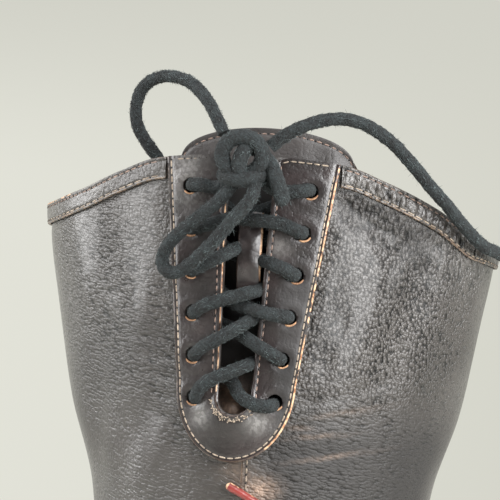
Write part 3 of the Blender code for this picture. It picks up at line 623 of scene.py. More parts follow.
edge_group, inward, outward = new_group(
    "raw_edge", ("Mask",), (("Colour", "Color"), ("Amount", "Float"))
)
spot = add(edge_group, "TexCoord").outputs["Object"]
fibres = noise_at(edge_group, spot, 700.0, 3.0)
patches = noise_at(edge_group, spot, 110.0, 2.0)
worn = ramp(edge_group, maths(edge_group, "ADD", fibres, patches), 0.82, 1.12)
edge_group.links.new(
    mix(edge_group, ramp(edge_group, fibres, 0.35, 0.65), (0.27, 0.115, 0.05), (0.56, 0.37, 0.23)),
    outward.inputs["Colour"],
)
edge_group.links.new(
    maths(edge_group, "MULTIPLY", inward.outputs["Mask"], worn, clamp=True), outward.inputs["Amount"]
)
print("groups:", [g.name for g in bpy.data.node_groups])

# %% [markdown]
# ## Leathers
# One builder makes every leather from two colours, a gloss and the masks that the meshes carry:
# where the grain is coarse, where an edge is raw and tan, where the finish is scuffed through, where
# painted light makes it brown, where painted shade darkens it and where a painted sheen makes it
# pale. Waxed leather is dark with a soft gloss, so the light on it comes mostly from the coat.

# %% Leather builder
def read(tree, name):
    return add(tree, "Attribute", attribute_name=name).outputs["Fac"]


def new_material(name):
    made = bpy.data.materials.new(name)
    made.use_nodes = True
    return made, made.node_tree, made.node_tree.nodes["Principled BSDF"]


# Near-black of the painted shade.
PAINTED_SHADE_COLOUR = (0.006, 0.005, 0.005)
# Tan brown of real scuffs, and of painted light on the tongue.
SCUFF_AND_PAINTED_LIGHT_COLOUR = (0.27, 0.185, 0.135)
# Pale grey of the painted sheen.
PAINTED_SHEEN_COLOUR = (0.27, 0.26, 0.25)


def leather(name, dark, light, gloss, grain, depth, clouds=38.0, coat=0.0):
    """A leather; grain gives the masks or plain amounts of its four grains, gloss its roughness."""
    made, tree, shader = new_material(name)
    amounts = {
        label: read(tree, amount) if isinstance(amount, str) else amount
        for label, amount in zip(grain_labels, grain)
    }
    relief = use_group(tree, grain_group, amounts)
    mottle = use_group(tree, mottle_group, {"Scale": clouds})
    raw = use_group(tree, edge_group, {"Mask": read(tree, "raw")})
    colour = mix(tree, mottle["Cloud"], dark, light)
    # Painted shade in the grain: the colour is darker in the valleys between the domes.
    shade = ramp(tree, relief["Shade"], 0.1, 1.0, 0.12, 1.0)
    colour = mix(tree, 1.0, colour, shade, blend="MULTIPLY")
    # Painted shade: this mask darkens the colour towards near-black where shade falls; it also roughens
    # the leather and thins its coat.
    painted_shade = read(tree, "painted_shade")
    colour = mix(tree, painted_shade, colour, PAINTED_SHADE_COLOUR)
    patchy = ramp(tree, mottle["Speck"], 0.0, 1.0, 0.6, 1.0)
    # Real scuffs on the shaft, and painted light on the tongue's bottom, mix in the tan brown.
    scuff_and_light_amount = maths(tree, "MULTIPLY", read(tree, "scuff_and_painted_light"), patchy, clamp=True)
    colour = mix(tree, scuff_and_light_amount, colour, SCUFF_AND_PAINTED_LIGHT_COLOUR)
    # Painted sheen: this mask mixes a pale grey into the colour where highlights fall.
    painted_sheen_amount = maths(tree, "MULTIPLY", read(tree, "painted_sheen"), patchy)
    colour = mix(tree, painted_sheen_amount, colour, PAINTED_SHEEN_COLOUR)
    colour = mix(tree, raw["Amount"], colour, raw["Colour"])
    tree.links.new(colour, shader.inputs["Base Color"])
    rough = ramp(tree, mottle["Cloud"], 0.0, 1.0, gloss + 0.05, gloss - 0.04)
    dull = maths(tree, "ADD", raw["Amount"], painted_shade)
    rough = maths(tree, "ADD", rough, maths(tree, "MULTIPLY", dull, 0.4), clamp=True)
    tree.links.new(rough, shader.inputs["Roughness"])
    thin = maths(tree, "SUBTRACT", 1.0, painted_shade, clamp=True)
    tree.links.new(maths(tree, "MULTIPLY", thin, coat), shader.inputs["Coat Weight"])
    shader.inputs["Coat Roughness"].default_value = 0.2
    bump = add(tree, "Bump", {"Height": relief["Height"], "Strength": 1.0, "Distance": depth * MM})
    tree.links.new(bump.outputs[0], shader.inputs["Normal"])
    return made


print("leather builder ready")

# %% Leathers of the upper, tongue and thong
shaft_leather = leather(
    "shaft_leather", (0.029, 0.0250, 0.0225), (0.052, 0.0465, 0.043), gloss=0.32,
    grain=("pebble", "across", "upright", 0.10), depth=0.9, coat=0.3,
)
facing_leather = leather(
    "facing_leather", (0.007, 0.005, 0.0048), (0.028, 0.021, 0.0205), gloss=0.30,
    grain=(0.10, 0.05, 0.05, 0.22), depth=0.30, clouds=75.0, coat=0.15,
)
band_leather = leather(
    "band_leather", (0.024, 0.020, 0.018), (0.066, 0.060, 0.055), gloss=0.34,
    grain=(0.14, 0.05, "upright", 0.16), depth=0.8, coat=0.2,
)
tongue_leather = leather(
    "tongue_leather", (0.023, 0.020, 0.019), (0.054, 0.048, 0.046), gloss=0.46,
    grain=(0.14, 0.08, 0.0, 0.16), depth=0.28, coat=0.1,
)
keeper_leather = leather(
    "keeper_leather", (0.010, 0.007, 0.0068), (0.042, 0.034, 0.033), gloss=0.30,
    grain=(0.05, 0.1, 0.0, 0.2), depth=0.28, clouds=190.0, coat=0.2,
)
lining_leather = leather(
    "lining_leather", (0.30, 0.205, 0.13), (0.42, 0.30, 0.20), gloss=0.70,
    grain=(0.0, 0.06, 0.0, 0.2), depth=0.2,
)
red_leather = leather(
    "red_leather", (0.10, 0.011, 0.009), (0.22, 0.030, 0.024), gloss=0.36,
    grain=(0.1, 0.15, 0.0, 0.15), depth=0.2, clouds=160.0, coat=0.2,
)
print("leathers:", len(bpy.data.materials))

# %% [markdown]
# ## Cut edges, thread and suede
# A cut edge of dyed leather shows its tan fibres, sewing thread is twisted and a little dirty, and
# suede laces have a nap that scatters light. None of them is glossy, so one builder makes them all
# from two colours and a fibrous bump. A sheen could stand for the nap, but real fibres are added
# to the lace later, and they blur its edge as well.

# %% Cut edge, thread and suede
def plain_stuff(name, dark, light, rough, grain_scale, depth, clouds=120.0, soft=0.14):
    """A matt material of two colours with a fibrous surface."""
    made, tree, shader = new_material(name)
    mottle = use_group(tree, mottle_group, {"Scale": clouds})
    spot = add(tree, "TexCoord").outputs["Object"]
    fuzz = noise_at(tree, spot, grain_scale, 4.0)
    hairy = ramp(tree, fuzz, 0.52 - soft, 0.52 + soft)
    amount = maths(tree, "MULTIPLY", maths(tree, "ADD", mottle["Cloud"], hairy), 0.5, clamp=True)
    tree.links.new(mix(tree, amount, dark, light), shader.inputs["Base Color"])
    tree.links.new(ramp(tree, fuzz, 0.3, 0.7, rough - 0.06, rough), shader.inputs["Roughness"])
    bump = add(tree, "Bump", {"Height": fuzz, "Strength": 1.0, "Distance": depth * MM})
    tree.links.new(bump.outputs[0], shader.inputs["Normal"])
    return made


cut_edge = plain_stuff("cut_edge", (0.16, 0.075, 0.038), (0.46, 0.27, 0.15), 0.85, 900.0, 0.2)
cream_thread = plain_stuff("cream_thread", (0.13, 0.100, 0.076), (0.40, 0.325, 0.25), 0.8, 1600.0, 0.1)
dull_thread = plain_stuff("dull_thread", (0.11, 0.075, 0.06), (0.29, 0.20, 0.16), 0.8, 2400.0, 0.1)
# Near-black for the painted shade inside the needle holes.
needle_hole_shade = plain_stuff("needle_hole_shade", (0.006, 0.005, 0.005), (0.02, 0.016, 0.014), 0.9, 900.0, 0.1)
lace_suede = plain_stuff(
    "lace_suede", (0.0010, 0.0015, 0.0017), (0.0165, 0.0220, 0.0232), 0.95, 1500.0, 0.7, clouds=300.0,
    soft=0.05,
)
# Fibres much paler than the lace: painted sheen on the nap.
lace_fibre_painted_sheen = plain_stuff("lace_fibre_painted_sheen", (0.0015, 0.0022, 0.0025), (0.120, 0.150, 0.152), 0.95, 500.0, 0.1)
# Near-black cut edge: painted shade on the walls of the slit and holes and along the bottom of the upper;
# on the collar's fray it is the fray's own dark colour.
painted_shade_and_dark_fray = plain_stuff("painted_shade_and_dark_fray", (0.012, 0.008, 0.006), (0.035, 0.022, 0.016), 0.85, 900.0, 0.2)
print("cut edge, threads and suede ready")

# %% [markdown]
# ## Creases of the upper
# Worn leather folds where the leg and ankle move. Sculpting would do it, but a table can be
# read and changed: each row places one soft trough with low ridges beside it, by the angle round
# from the front, its height, how long and wide it is, which way it runs, and how deep it goes.

# %% Crease tables
SHAFT_CREASES = (
    # degrees (+ medial), z, half_length, tilt, half_width, depth
    (-47.0, 362.0, 34.0, 78.0, 7.5, 0.9),
    (-29.0, 374.0, 24.0, 82.0, 7.0, -0.6),
    (-23.0, 376.0, 8.0, -8.0, 1.5, 0.30),
    (-23.5, 370.5, 9.0, -10.0, 1.5, 0.32),
    (-22.5, 365.0, 9.0, -14.0, 1.6, 0.34),
    (-20.5, 359.0, 8.0, -18.0, 1.6, 0.30),
    (-19.0, 352.0, 9.0, -26.0, 1.7, 0.30),
    (-15.0, 345.0, 9.0, -32.0, 1.8, 0.30),
    (-50.0, 395.0, 9.0, 14.0, 1.7, 0.14),
    (-52.0, 389.0, 10.0, 12.0, 1.7, 0.14),
    (-48.0, 383.0, 11.0, 10.0, 1.7, 0.14),
    (-50.0, 377.0, 10.0, 8.0, 1.8, 0.14),
    (-36.0, 388.0, 9.0, -4.0, 1.6, 0.14),
    (25.5, 400.0, 24.0, 80.0, 1.7, 0.50),
    (29.5, 396.0, 18.0, 78.0, 1.8, 0.40),
    (22.0, 372.0, 16.0, 76.0, 1.6, 0.40),
    (34.0, 410.0, 8.0, 84.0, 1.4, 0.40),
    (37.5, 408.0, 9.0, 80.0, 1.4, 0.45),
    (41.0, 404.0, 10.0, 76.0, 1.5, 0.45),
    (44.5, 401.0, 9.0, 74.0, 1.5, 0.45),
    (48.5, 398.0, 10.0, 70.0, 1.5, 0.40),
    (53.0, 394.0, 8.0, 66.0, 1.5, 0.35),
    (30.0, 411.5, 13.0, -29.0, 5.0, 0.8),
    (-37.0, 387.0, 20.0, -20.0, 13.0, -0.9),
    (-37.0, 352.0, 22.0, -16.0, 13.0, 1.0),
    (32.5, 378.0, 24.0, 74.0, 8.0, -0.6),
    (43.0, 386.0, 24.0, 74.0, 6.0, 0.7),
    (54.0, 380.0, 24.0, 74.0, 7.0, -0.5),
    (19.0, 353.0, 15.0, 14.0, 1.4, 0.28),
    (31.0, 363.0, 17.0, 20.0, 1.5, 0.30),
    (27.0, 345.0, 20.0, 12.0, 1.7, 0.25),
    (-30.0, 337.0, 16.0, 68.0, 8.0, -1.1),
    (0.0, 212.0, 30.0, 3.0, 5.5, 1.3),
    (-18.0, 199.0, 28.0, 8.0, 4.5, 1.1),
    (14.0, 190.0, 26.0, -6.0, 4.0, 1.0),
    (96.0, 205.0, 30.0, 18.0, 6.5, 1.1),
    (-96.0, 200.0, 30.0, -18.0, 6.5, 1.1),
    (176.0, 205.0, 30.0, 2.0, 7.0, 1.2),
    (140.0, 330.0, 34.0, 70.0, 10.0, 1.0),
    (-140.0, 300.0, 36.0, 72.0, 10.0, 1.0),
)
FOOT_CREASES = (
    # degrees (+ medial), run, half_length, tilt, half_width, depth
    (0.0, 70.0, 34.0, 4.0, 3.5, 1.0),
    (0.0, 82.0, 36.0, 0.0, 3.2, 1.1),
    (-6.0, 95.0, 34.0, -4.0, 3.4, 0.9),
    (40.0, 88.0, 22.0, 20.0, 2.8, 0.7),
    (-40.0, 86.0, 22.0, -20.0, 2.8, 0.7),
    (0.0, 330.0, 26.0, 2.0, 3.2, 1.2),
    (8.0, 370.0, 26.0, -5.0, 3.2, 1.1),
    (175.0, 360.0, 30.0, 3.0, 7.0, 1.4),
    (160.0, 395.0, 28.0, -6.0, 6.0, 1.2),
    (-90.0, 360.0, 26.0, -14.0, 6.0, 1.1),
    (92.0, 365.0, 26.0, 14.0, 6.0, 1.1),
)
print("creases:", len(SHAFT_CREASES) + len(FOOT_CREASES))

# %% Crease relief
def surface_at(turn, level, on_shaft):
    return shaft_point(turn, level) if on_shaft else foot_point(level, turn)


def crease_relief(points):
    """How far the creases move each point out of the leather's face."""
    moved = np.zeros(len(points))
    for on_shaft, rows in ((True, SHAFT_CREASES), (False, FOOT_CREASES)):
        for degrees, level, half_length, tilt, half_width, depth in rows:
            turn = degrees / 180.0
            centre = surface_at(turn, level, on_shaft)
            around = surface_at(turn + 0.01, level, on_shaft) - centre
            rise = surface_at(turn, level + 1.0, on_shaft) - centre
            angle = math.radians(tilt)
            across = rise.normalized() * math.cos(angle) - around.normalized() * math.sin(angle)
            away = points - np.array(centre)
            over = away @ np.array(across)
            along = np.linalg.norm(away - np.outer(over, np.array(across)), axis=1)
            t = over / half_width
            trough = (1 - 0.7 * t * t) * np.exp(-t * t)
            moved -= depth * trough * np.exp(-((along / half_length) ** 4))
    return moved


def facing_half(z):
    """Half-width of the facing at height z, for arrays."""
    down = (COLLAR_FRONT - z) / FACING_STRAIGHT
    below = (down - 1) * FACING_STRAIGHT / (FACING_LENGTH - FACING_STRAIGHT)
    rounded = FACING_HALF_LOW * np.sqrt(np.clip(1 - np.clip(below, 0, 1) ** 2, 0, 1))
    return np.where(down <= 1, lerp(FACING_HALF_TOP, FACING_HALF_LOW, down), rounded)


THROAT_RISE, THROAT_REACH = 2.5, 6.8


def throat_swell(px, pz):
    """The lacing pulls the leather up round the slit's bottom."""
    away = (px - leaned(0.0, SLIT_BOTTOM)) ** 2 + (pz - SLIT_BOTTOM - 1.0) ** 2
    return THROAT_RISE * np.exp(-away / THROAT_REACH ** 2)


print("deepest crease, mm:", max(row[-1] for row in SHAFT_CREASES + FOOT_CREASES))

# %% [markdown]
# ## The upper
# The upper is one skin from toe to collar, cut in two halves that lap in a seam down the front.
# It could be a subdivided cage, but a grid on the form's own functions lies true to the solid. The
# grid is finer at the top, where the photograph looks closely.

# %% Stations of the upper
SEAM_TURN = 0.013
SEAM_TOP = 343.0
SHAFT_RUN = FEATHER_LENGTH + BACK_RUN


def upper_turns():
    """Places round the upper, close together at the front lap and the back seam."""
    fine = [SEAM_TURN + d for d in (-0.009, -0.005, -0.002, -0.0004, 0.0012, 0.005, 0.010)]
    fine += [side * (1 - d) for side in (-1, 1) for d in (0.0, 0.0025, 0.006)]
    even = [-1 + i / 74 for i in range(149)]
    return sorted(fine + [t for t in even if min(abs(t - f) for f in fine) > 0.0035])


def upper_levels():
    """Runs along the foot, then past SHAFT_RUN the share of the shaft's height."""
    toe = FEATHER_HEEL_Y - FEATHER_LENGTH
    foot = [y - toe for y in outline_ys(0.0, 0.0, 3.4, 12, 10)]
    ankle = [FEATHER_LENGTH + BACK_RUN * i / 46 for i in range(1, 47)]
    low = [0.55 * i / 50 for i in range(1, 51)]
    top = [0.55 + 0.45 * i / 92 for i in range(1, 93)]
    return foot + ankle + [SHAFT_RUN + share for share in low + top]


turns, levels = upper_turns(), upper_levels()
print("upper grid:", len(turns), "by", len(levels))

# %% Skin of the upper
def upper_place(i, j):
    turn, level = turns[i], levels[j]
    if level <= SHAFT_RUN:
        return foot_point(level, turn)
    return shaft_point(turn, lerp(SHAFT_BASE_Z, collar_height(turn), level - SHAFT_RUN))


skin = wrapped_grid(
    len(turns) - 1, len(levels) - 1, upper_place,
    {"turn": lambda i, j: turns[i], "level": lambda i, j: levels[j]},
)
turn_layer, level_layer = (skin.verts.layers.float[n] for n in ("turn", "level"))
edge = [v for v in skin.verts if v[level_layer] <= FEATHER_LENGTH and abs(v[turn_layer]) > 0.96]
bmesh.ops.remove_doubles(skin, verts=edge, dist=0.25)
bmesh.ops.remove_doubles(skin, verts=skin.verts, dist=0.001)
print("skin:", len(skin.verts), "points")

# %% [markdown]
# ## The heel's seat
# Round the heel a maker pulls the leather over a stiff counter and trims it to the heel's seat.
# The sections of the last run almost along that edge, which leaves a ragged row in the grid. A
# finer grid would stay ragged, so the skin is smoothed there and a plane cuts it off at the seat.

# %% Smooth and trim the heel
COUNTER_RUNS, COUNTER_TURNS, COUNTER_PASSES = (215, 345), (0.5, 0.98), 30
SEAT_Y, SEAT_SLOPE, SEAT_REACH = 58.0, 0.036, 60
SEAT_TURN = 0.95
counter = [
    v for v in skin.verts
    if COUNTER_RUNS[0] < v[level_layer] < COUNTER_RUNS[1]
    and COUNTER_TURNS[0] < abs(v[turn_layer]) < COUNTER_TURNS[1] and not v.is_boundary
]
for _ in range(COUNTER_PASSES):
    bmesh.ops.smooth_vert(
        skin, verts=counter, factor=0.5, use_axis_x=True, use_axis_y=True, use_axis_z=True
    )
seat = Vector((0.0, SEAT_Y, HEEL_HEIGHT + SOLE_THICKNESS + UPPER_GAP))
around_seat = [
    f for f in skin.faces
    if min(v.co.y for v in f.verts) > SEAT_Y - 2 and f.calc_center_median().z < SEAT_REACH
]
seat_parts = list(dict.fromkeys(g for f in around_seat for g in (f, *f.edges, *f.verts)))
trimmed = bmesh.ops.bisect_plane(
    skin, geom=seat_parts, dist=0.02, clear_inner=True,
    plane_co=seat, plane_no=Vector((0.0, -SEAT_SLOPE, 1.0)).normalized(),
)
seat_edge = [g for g in trimmed["geom_cut"] if isinstance(g, bmesh.types.BMVert)]
for vert in seat_edge:
    vert.co.z = seat.z
    vert[turn_layer], vert[level_layer] = math.copysign(SEAT_TURN, vert.co.x), FEATHER_LENGTH
print("points on the seat's edge:", len(seat_edge))

# %% [markdown]
# ## Relief and masks of the upper
# The skin gets its creases, the lap of the front seam and the groove of the back seam as small
# moves along its normals. Then each point carries masks that the leather reads: where the grain is
# coarse or fine, where it is scuffed, where a painted sheen makes it pale and where painted shade
# darkens it. They could be painted, but soft patches in short tables can be read and moved. The
# patches are placed on the front, in millimetres.

# %% Places on the skin
skin.normal_update()
skin.verts.ensure_lookup_table()
at = np.array([v.co[:] for v in skin.verts])
out = np.array([v.normal[:] for v in skin.verts])
vert_turn = np.array([v[turn_layer] for v in skin.verts])
vert_level = np.array([v[level_layer] for v in skin.verts])
on_shaft = vert_level > SHAFT_RUN
x, z = at[:, 0], at[:, 2]
front = np.abs(vert_turn) < 0.45
collar_z = np.array([collar_height(float(t)) for t in vert_turn])
below_collar = np.where(on_shaft, collar_z - z, 200.0)
past_facing = np.abs(x - leaned(0.0, z)) - facing_half(z)
beside_facing = np.where(front & on_shaft & (z > COLLAR_FRONT - FACING_LENGTH), past_facing, 30.0)
print("points under the facing:", int((beside_facing < 0).sum()))

# %% Relief of the skin
LAP_RISE, BACK_GROOVE = 0.45, 0.55
relief = crease_relief(at)
relief += np.array([0.35 * noise.noise(Vector(p) * 0.035) for p in at])
relief *= ease((beside_facing + 0.5) / 4.0) * ease((below_collar - BAND_WIDTH) / 3.0)
under_facing = ease((SEAM_TOP + 3.0 - z) / 3.0)
past_seam = vert_turn - SEAM_TURN
lap = np.where(past_seam > 0, np.exp(-np.abs(past_seam) / 0.03), 0.0)
lap *= np.where(on_shaft, under_facing, 1.0) * ease((vert_level - 4.0) / 20.0)
relief += LAP_RISE * lap + np.where(front & on_shaft, throat_swell(x, z), 0.0)
up_back = ease((vert_level - FEATHER_LENGTH - 5.0) / 15.0)
relief -= BACK_GROOVE * np.exp(-(((1 - np.abs(vert_turn)) / 0.004) ** 2)) * up_back
for vert, point, normal, lift in zip(skin.verts, at, out, relief):
    vert.co = point + normal * lift
print("relief, mm:", round(relief.min(), 2), "to", round(relief.max(), 2))

# %% Patches on the front
# Rows: x, z, half width, half height, amount
PEBBLE_PATCHES = (
    (47, 397, 15, 16, 0.3), (38, 378, 16, 14, 0.25),
    (32, 392, 7, 12, -0.25), (30, 340, 30, 14, -0.25),
)
ACROSS_PATCHES = ((-40, 380, 16, 20, 0.28), (-45, 402, 14, 10, 0.10), (-36, 345, 20, 14, -0.2))
# Patches of painted shade on the lateral side.
PAINTED_SHADE_PATCHES = ((-38, 374, 16, 13, 0.3), (-46, 408, 6, 5, 0.25))
# A patch of painted sheen on the medial side, where light falls.
PAINTED_SHEEN_PATCHES = ((61, 404, 7, 8, 0.22),)
SCUFF_PATCHES = ((7.5, 334.0, 4.5, 3.2, 0.9), (0.5, 339.0, 4.0, 3.0, 0.25))
# Rows: x, z, half length, slope
SCUFF_LINES = ((23, 350, 7, 0.1), (31, 357, 9, 0.18), (27, 344, 10, 0.16), (17, 352, 4, 0.0))
SCUFF_LINE_WIDTH, SCUFF_LINE_AMOUNT = 0.5, 0.35


def patches_on(rows):
    """The sum of soft round patches, at every point of the skin."""
    return sum(
        amount * np.exp(-(((x - cx) / wide) ** 2) - ((z - cz) / tall) ** 2) * front
        for cx, cz, wide, tall, amount in rows
    )


print("points in a scuff:", int((patches_on(SCUFF_PATCHES) > 0.1).sum()))

# %% Masks of the skin
facing_front = ease((0.52 - np.abs(vert_turn)) / 0.16)
medial = ease((vert_turn - 0.01) / 0.06)
lateral = 1 - medial
near_facing = np.exp(-(((beside_facing - 4.0) / 5.0) ** 2))
near_band = np.exp(-(((below_collar - 10.0) / 9.0) ** 2))
low_down = ease((374.0 - z) / 24.0)
coarse = 0.40 + 0.25 * near_facing - 0.2 * near_band + patches_on(PEBBLE_PATCHES)
pebble = (medial * coarse + 0.16 * lateral) * (1 - 0.6 * low_down)
creased = 0.22 + 0.30 * near_facing * ease((398 - z) / 30) + patches_on(ACROSS_PATCHES)
across = lateral * creased + medial * (0.12 + 0.22 * low_down)
upright = medial * near_band * ease((x - 22.0) / 6.0) * 0.7 * facing_front
# Painted shade: darker on the medial front low down and just under the band, and in the listed patches on
# the lateral side.
painted_shade = 0.75 * ease((364.0 - z) / 20.0) * ease((z - 295.0) / 30.0)
painted_shade += 0.45 * near_band * ease((x - 20.0) / 6.0) * ease((58.0 - x) / 10.0)
painted_shade = (painted_shade * medial + patches_on(PAINTED_SHADE_PATCHES) * lateral) * facing_front * on_shaft
up_shaft = ease((vert_level - SHAFT_RUN + 60.0) / 60.0)
fade = lerp(0.5, 1.0, up_shaft) * lerp(0.75, 1.0, facing_front)
raw = 0.3 * np.exp(-((past_seam / 0.0008) ** 2)) * np.where(on_shaft, under_facing, 1.0)
scuff_and_painted_light = patches_on(SCUFF_PATCHES)
for cx, cz, long, slope in SCUFF_LINES:
    over = (z - cz - slope * (x - cx)) / SCUFF_LINE_WIDTH
    scuff_and_painted_light += SCUFF_LINE_AMOUNT * np.exp(-(((x - cx) / long) ** 2) - over ** 2) * front
for name, values in (
    ("pebble", pebble * fade), ("across", across * fade), ("upright", upright), ("raw", raw),
    ("scuff_and_painted_light", scuff_and_painted_light), ("painted_shade", painted_shade), ("painted_sheen", patches_on(PAINTED_SHEEN_PATCHES)),
):
    layer = skin.verts.layers.float.new(name)
    for vert, value in zip(skin.verts, values):
        vert[layer] = float(value)
print("strongest pebble grain:", round(float(pebble.max()), 2))

# %% [markdown]
# ## The slit and the eyelet holes
# The maker punches facing and shaft together, so one cutter goes through both. The holes are
# cones of an operator and the slit is an extruded outline, and an exact Boolean keeps clean edges.
# The cutter wears a dark edge material as painted shade, and the walls of the slit and holes take it
# over. The pale rims below some eyelets, the lit parts of their walls, are small pieces of their own.

# %% Throat cutter
CUT_ABOVE, CUT_FROM_Y, CUT_DEPTH = 30.0, -40.0, 55.0
HOLE_DEPTH, HOLE_SEGMENTS, ARC_STEPS = 16.0, 28, 24


def throat_cutter(with_slit, stuff):
    bm = bmesh.new()
    if with_slit:
        top, low = COLLAR_FRONT + CUT_ABOVE, COLLAR_FRONT - SLIT_STRAIGHT
        wide = SLIT_HALF_LOW + (SLIT_HALF_TOP - SLIT_HALF_LOW) / SLIT_STRAIGHT * (top - low)
        outline = [(-wide, top)]
        for i in range(ARC_STEPS + 1):
            angle = math.pi * (1 + i / ARC_STEPS)
            outline.append((SLIT_HALF_LOW * math.cos(angle), low + SLIT_HALF_LOW * math.sin(angle)))
        outline.append((wide, top))
        face = bm.faces.new([bm.verts.new((leaned(a, b), CUT_FROM_Y, b)) for a, b in outline])
        grown = bmesh.ops.extrude_face_region(bm, geom=[face])
        moved = [g for g in grown["geom"] if isinstance(g, bmesh.types.BMVert)]
        bmesh.ops.translate(bm, vec=(0, CUT_DEPTH, 0), verts=moved)
    for row in range(EYELET_ROWS):
        for side in (-1, 1):
            place = front_lift(*eyelet_place(row, side), 0.0)
            out_of = (front_lift(*eyelet_place(row, side), 1.0) - place).normalized()
            turned = out_of.to_track_quat("Z", "Y").to_matrix().to_4x4()
            bmesh.ops.create_cone(
                bm, cap_ends=True, segments=HOLE_SEGMENTS, radius1=EYELET_RADIUS,
                radius2=EYELET_RADIUS, depth=HOLE_DEPTH, matrix=Matrix.Translation(place) @ turned,
            )
    bmesh.ops.recalc_face_normals(bm, faces=bm.faces)
    return new_piece("throat_cutter", bm, [stuff])


def punch(made, with_slit, stuff):
    """Cuts the throat out of a piece and removes the cutter again."""
    cutter = throat_cutter(with_slit, stuff)
    cut = made.modifiers.new("Cut", "BOOLEAN")
    cut.operation = "DIFFERENCE"
    cut.solver = "EXACT"
    cut.material_mode = "TRANSFER"
    cut.object = cutter
    apply_modifiers(made)
    bpy.data.objects.remove(cutter, do_unlink=True)


print("holes to punch:", 2 * EYELET_ROWS)

# %% [markdown]
# ## The upper's wall
# The skin becomes leather of a real thickness with Solidify: its outer face is the grained leather,
# its inner face the lining, and its rim the cut edge. Extruding along the normals would do the
# same, but the modifier keeps the wall even where the skin bends.

# %% The upper with its wall
upper = new_piece("upper_leather", skin, [shaft_leather, lining_leather, cut_edge])
wall = upper.modifiers.new("Wall", "SOLIDIFY")
wall.thickness = UPPER_WALL * MM
wall.offset = -1.0
wall.use_quality_normals = True
wall.material_offset = 1
wall.material_offset_rim = 2
punch(upper, True, painted_shade_and_dark_fray)
# Painted shade: the cut edge low down by the sole takes the dark edge material too.
dark_slot = upper.data.materials.find(painted_shade_and_dark_fray.name)
for face in upper.data.polygons:
    if face.material_index == 2 and face.center.z < 100 * MM:
        face.material_index = dark_slot
wear(upper, "shaft_leather", "upper")

# %% [markdown]
# ## Sewn strips
# Facing, collar band, welt and keeper are strips with a thickness and softened edges. Each is a
# closed tube whose section is a flat rounded bar: a grid is rolled round that section, so both
# faces and both edges come from one function, and a sewn line can be pressed into the top face.

# %% Strip builder
EDGE_STEPS = (
    # distance from the edge, share of the thickness
    (0.0, 0.5), (0.10, 0.82), (0.35, 1.0), (0.7, 1.0), (1.0, 1.0), (1.3, 1.0), (1.6, 1.0),
    (2.0, 1.0), (2.6, 1.0),
)


def strip_section(middles):
    """Round a strip's section: (edge, distance or share, share of the thickness)."""
    top = [("near", d, up) for d, up in EDGE_STEPS]
    top += [("between", (k + 1) / (middles + 1), 1.0) for k in range(middles)]
    top += [("far", d, up) for d, up in EDGE_STEPS[::-1]]
    under = [("far", 0.15, 0.1), ("between", 0.66, 0.0), ("between", 0.33, 0.0), ("near", 0.15, 0.1)]
    return top + under + top[:1]


def strip(alongs, middles, width, place, thickness, pressed, raw_mask):
    """A closed strip. place(along, across, lift) puts it on the boot, across going from 0 to 1."""
    section = strip_section(middles)
    inset = EDGE_STEPS[-1][0]

    def across_at(i, along):
        kind, value, up = section[i]
        wide = width(along)
        if kind == "between":
            return lerp(inset / wide, 1 - inset / wide, value), up
        return (value / wide if kind == "near" else 1 - value / wide), up

    def put(i, j):
        along = alongs[j]
        share, up = across_at(i, along)
        wide = width(along)
        lift = up * thickness
        if up == 1.0:
            lift += pressed(along, share * wide, (1 - share) * wide)
        return place(along, share, lift)

    def raw_at(i, j):
        kind, value, up = section[i]
        worn = up > 0.05 and value < {"near": 0.2, "between": 0.0, "far": 0.4}[kind]
        return raw_mask(alongs[j], across_at(i, alongs[j])[0]) if worn else 0.0

    bm = wrapped_grid(len(section) - 1, len(alongs) - 1, put, {"raw": raw_at})
    close_seams(bm)
    return bm


def sewn(distance, at_distance, depth=0.18, width=0.4):
    """The groove that a row of stitches pulls into leather."""
    return -depth * math.exp(-(((distance - at_distance) / width) ** 2))


print("points round a strip's section:", len(strip_section(10)) - 1)

# %% [markdown]
# ## The laced facing
# The facing is a U of thick leather sewn over the front of the shaft. Rolling the strip along the
# U, from one top corner round the bottom to the other, makes its edges true to the outline, which
# cutting a U out of a square grid would not.

# %% The facing's U
ARC_FROM, ARC_TO = 0.35, 0.65
FACING_SEAM, SLIT_SEAM = 1.3, 1.6
CORNERS = {-1: 2.4, 1: 4.4}


def facing_place(along, across):
    """Sideways place and height on the facing: across is 0 at the slit and 1 outside."""
    side = -1 if along < 0.5 else 1
    half_low = lerp(SLIT_HALF_LOW, FACING_HALF_LOW, across)
    z_low = COLLAR_FRONT - lerp(SLIT_STRAIGHT, FACING_STRAIGHT, across)
    if ARC_FROM < along < ARC_TO:
        angle = math.pi * (1 + (along - ARC_FROM) / (ARC_TO - ARC_FROM))
        tall = lerp(SLIT_HALF_LOW, FACING_LENGTH - FACING_STRAIGHT, across)
        px, pz = half_low * math.cos(angle), z_low + tall * math.sin(angle)
        return leaned(px, pz), pz
    down = along / ARC_FROM if side < 0 else (1 - along) / (1 - ARC_TO)
    half_top = lerp(SLIT_HALF_TOP, FACING_HALF_TOP, across)
    from_slit = across * (FACING_HALF_TOP - SLIT_HALF_TOP)
    corner = CORNERS[side] * (1 - round_end(from_slit, CORNERS[side]))
    z_top = collar_at(leaned(side * half_top, COLLAR_FRONT)) - corner
    pz = lerp(z_top, z_low, down)
    return leaned(side * lerp(half_top, half_low, down), pz), pz


@lru_cache(maxsize=4000)
def facing_width(along):
    return math.dist(facing_place(along, 0.0), facing_place(along, 1.0))


print("facing, mm wide at the top:", round(facing_width(0.0), 1))

# %% Pressed face of the facing
def facing_lift(along, across, lift):
    px, pz = facing_place(along, across)
    return front_lift(px, pz, GAP + lift + float(throat_swell(px, pz)))


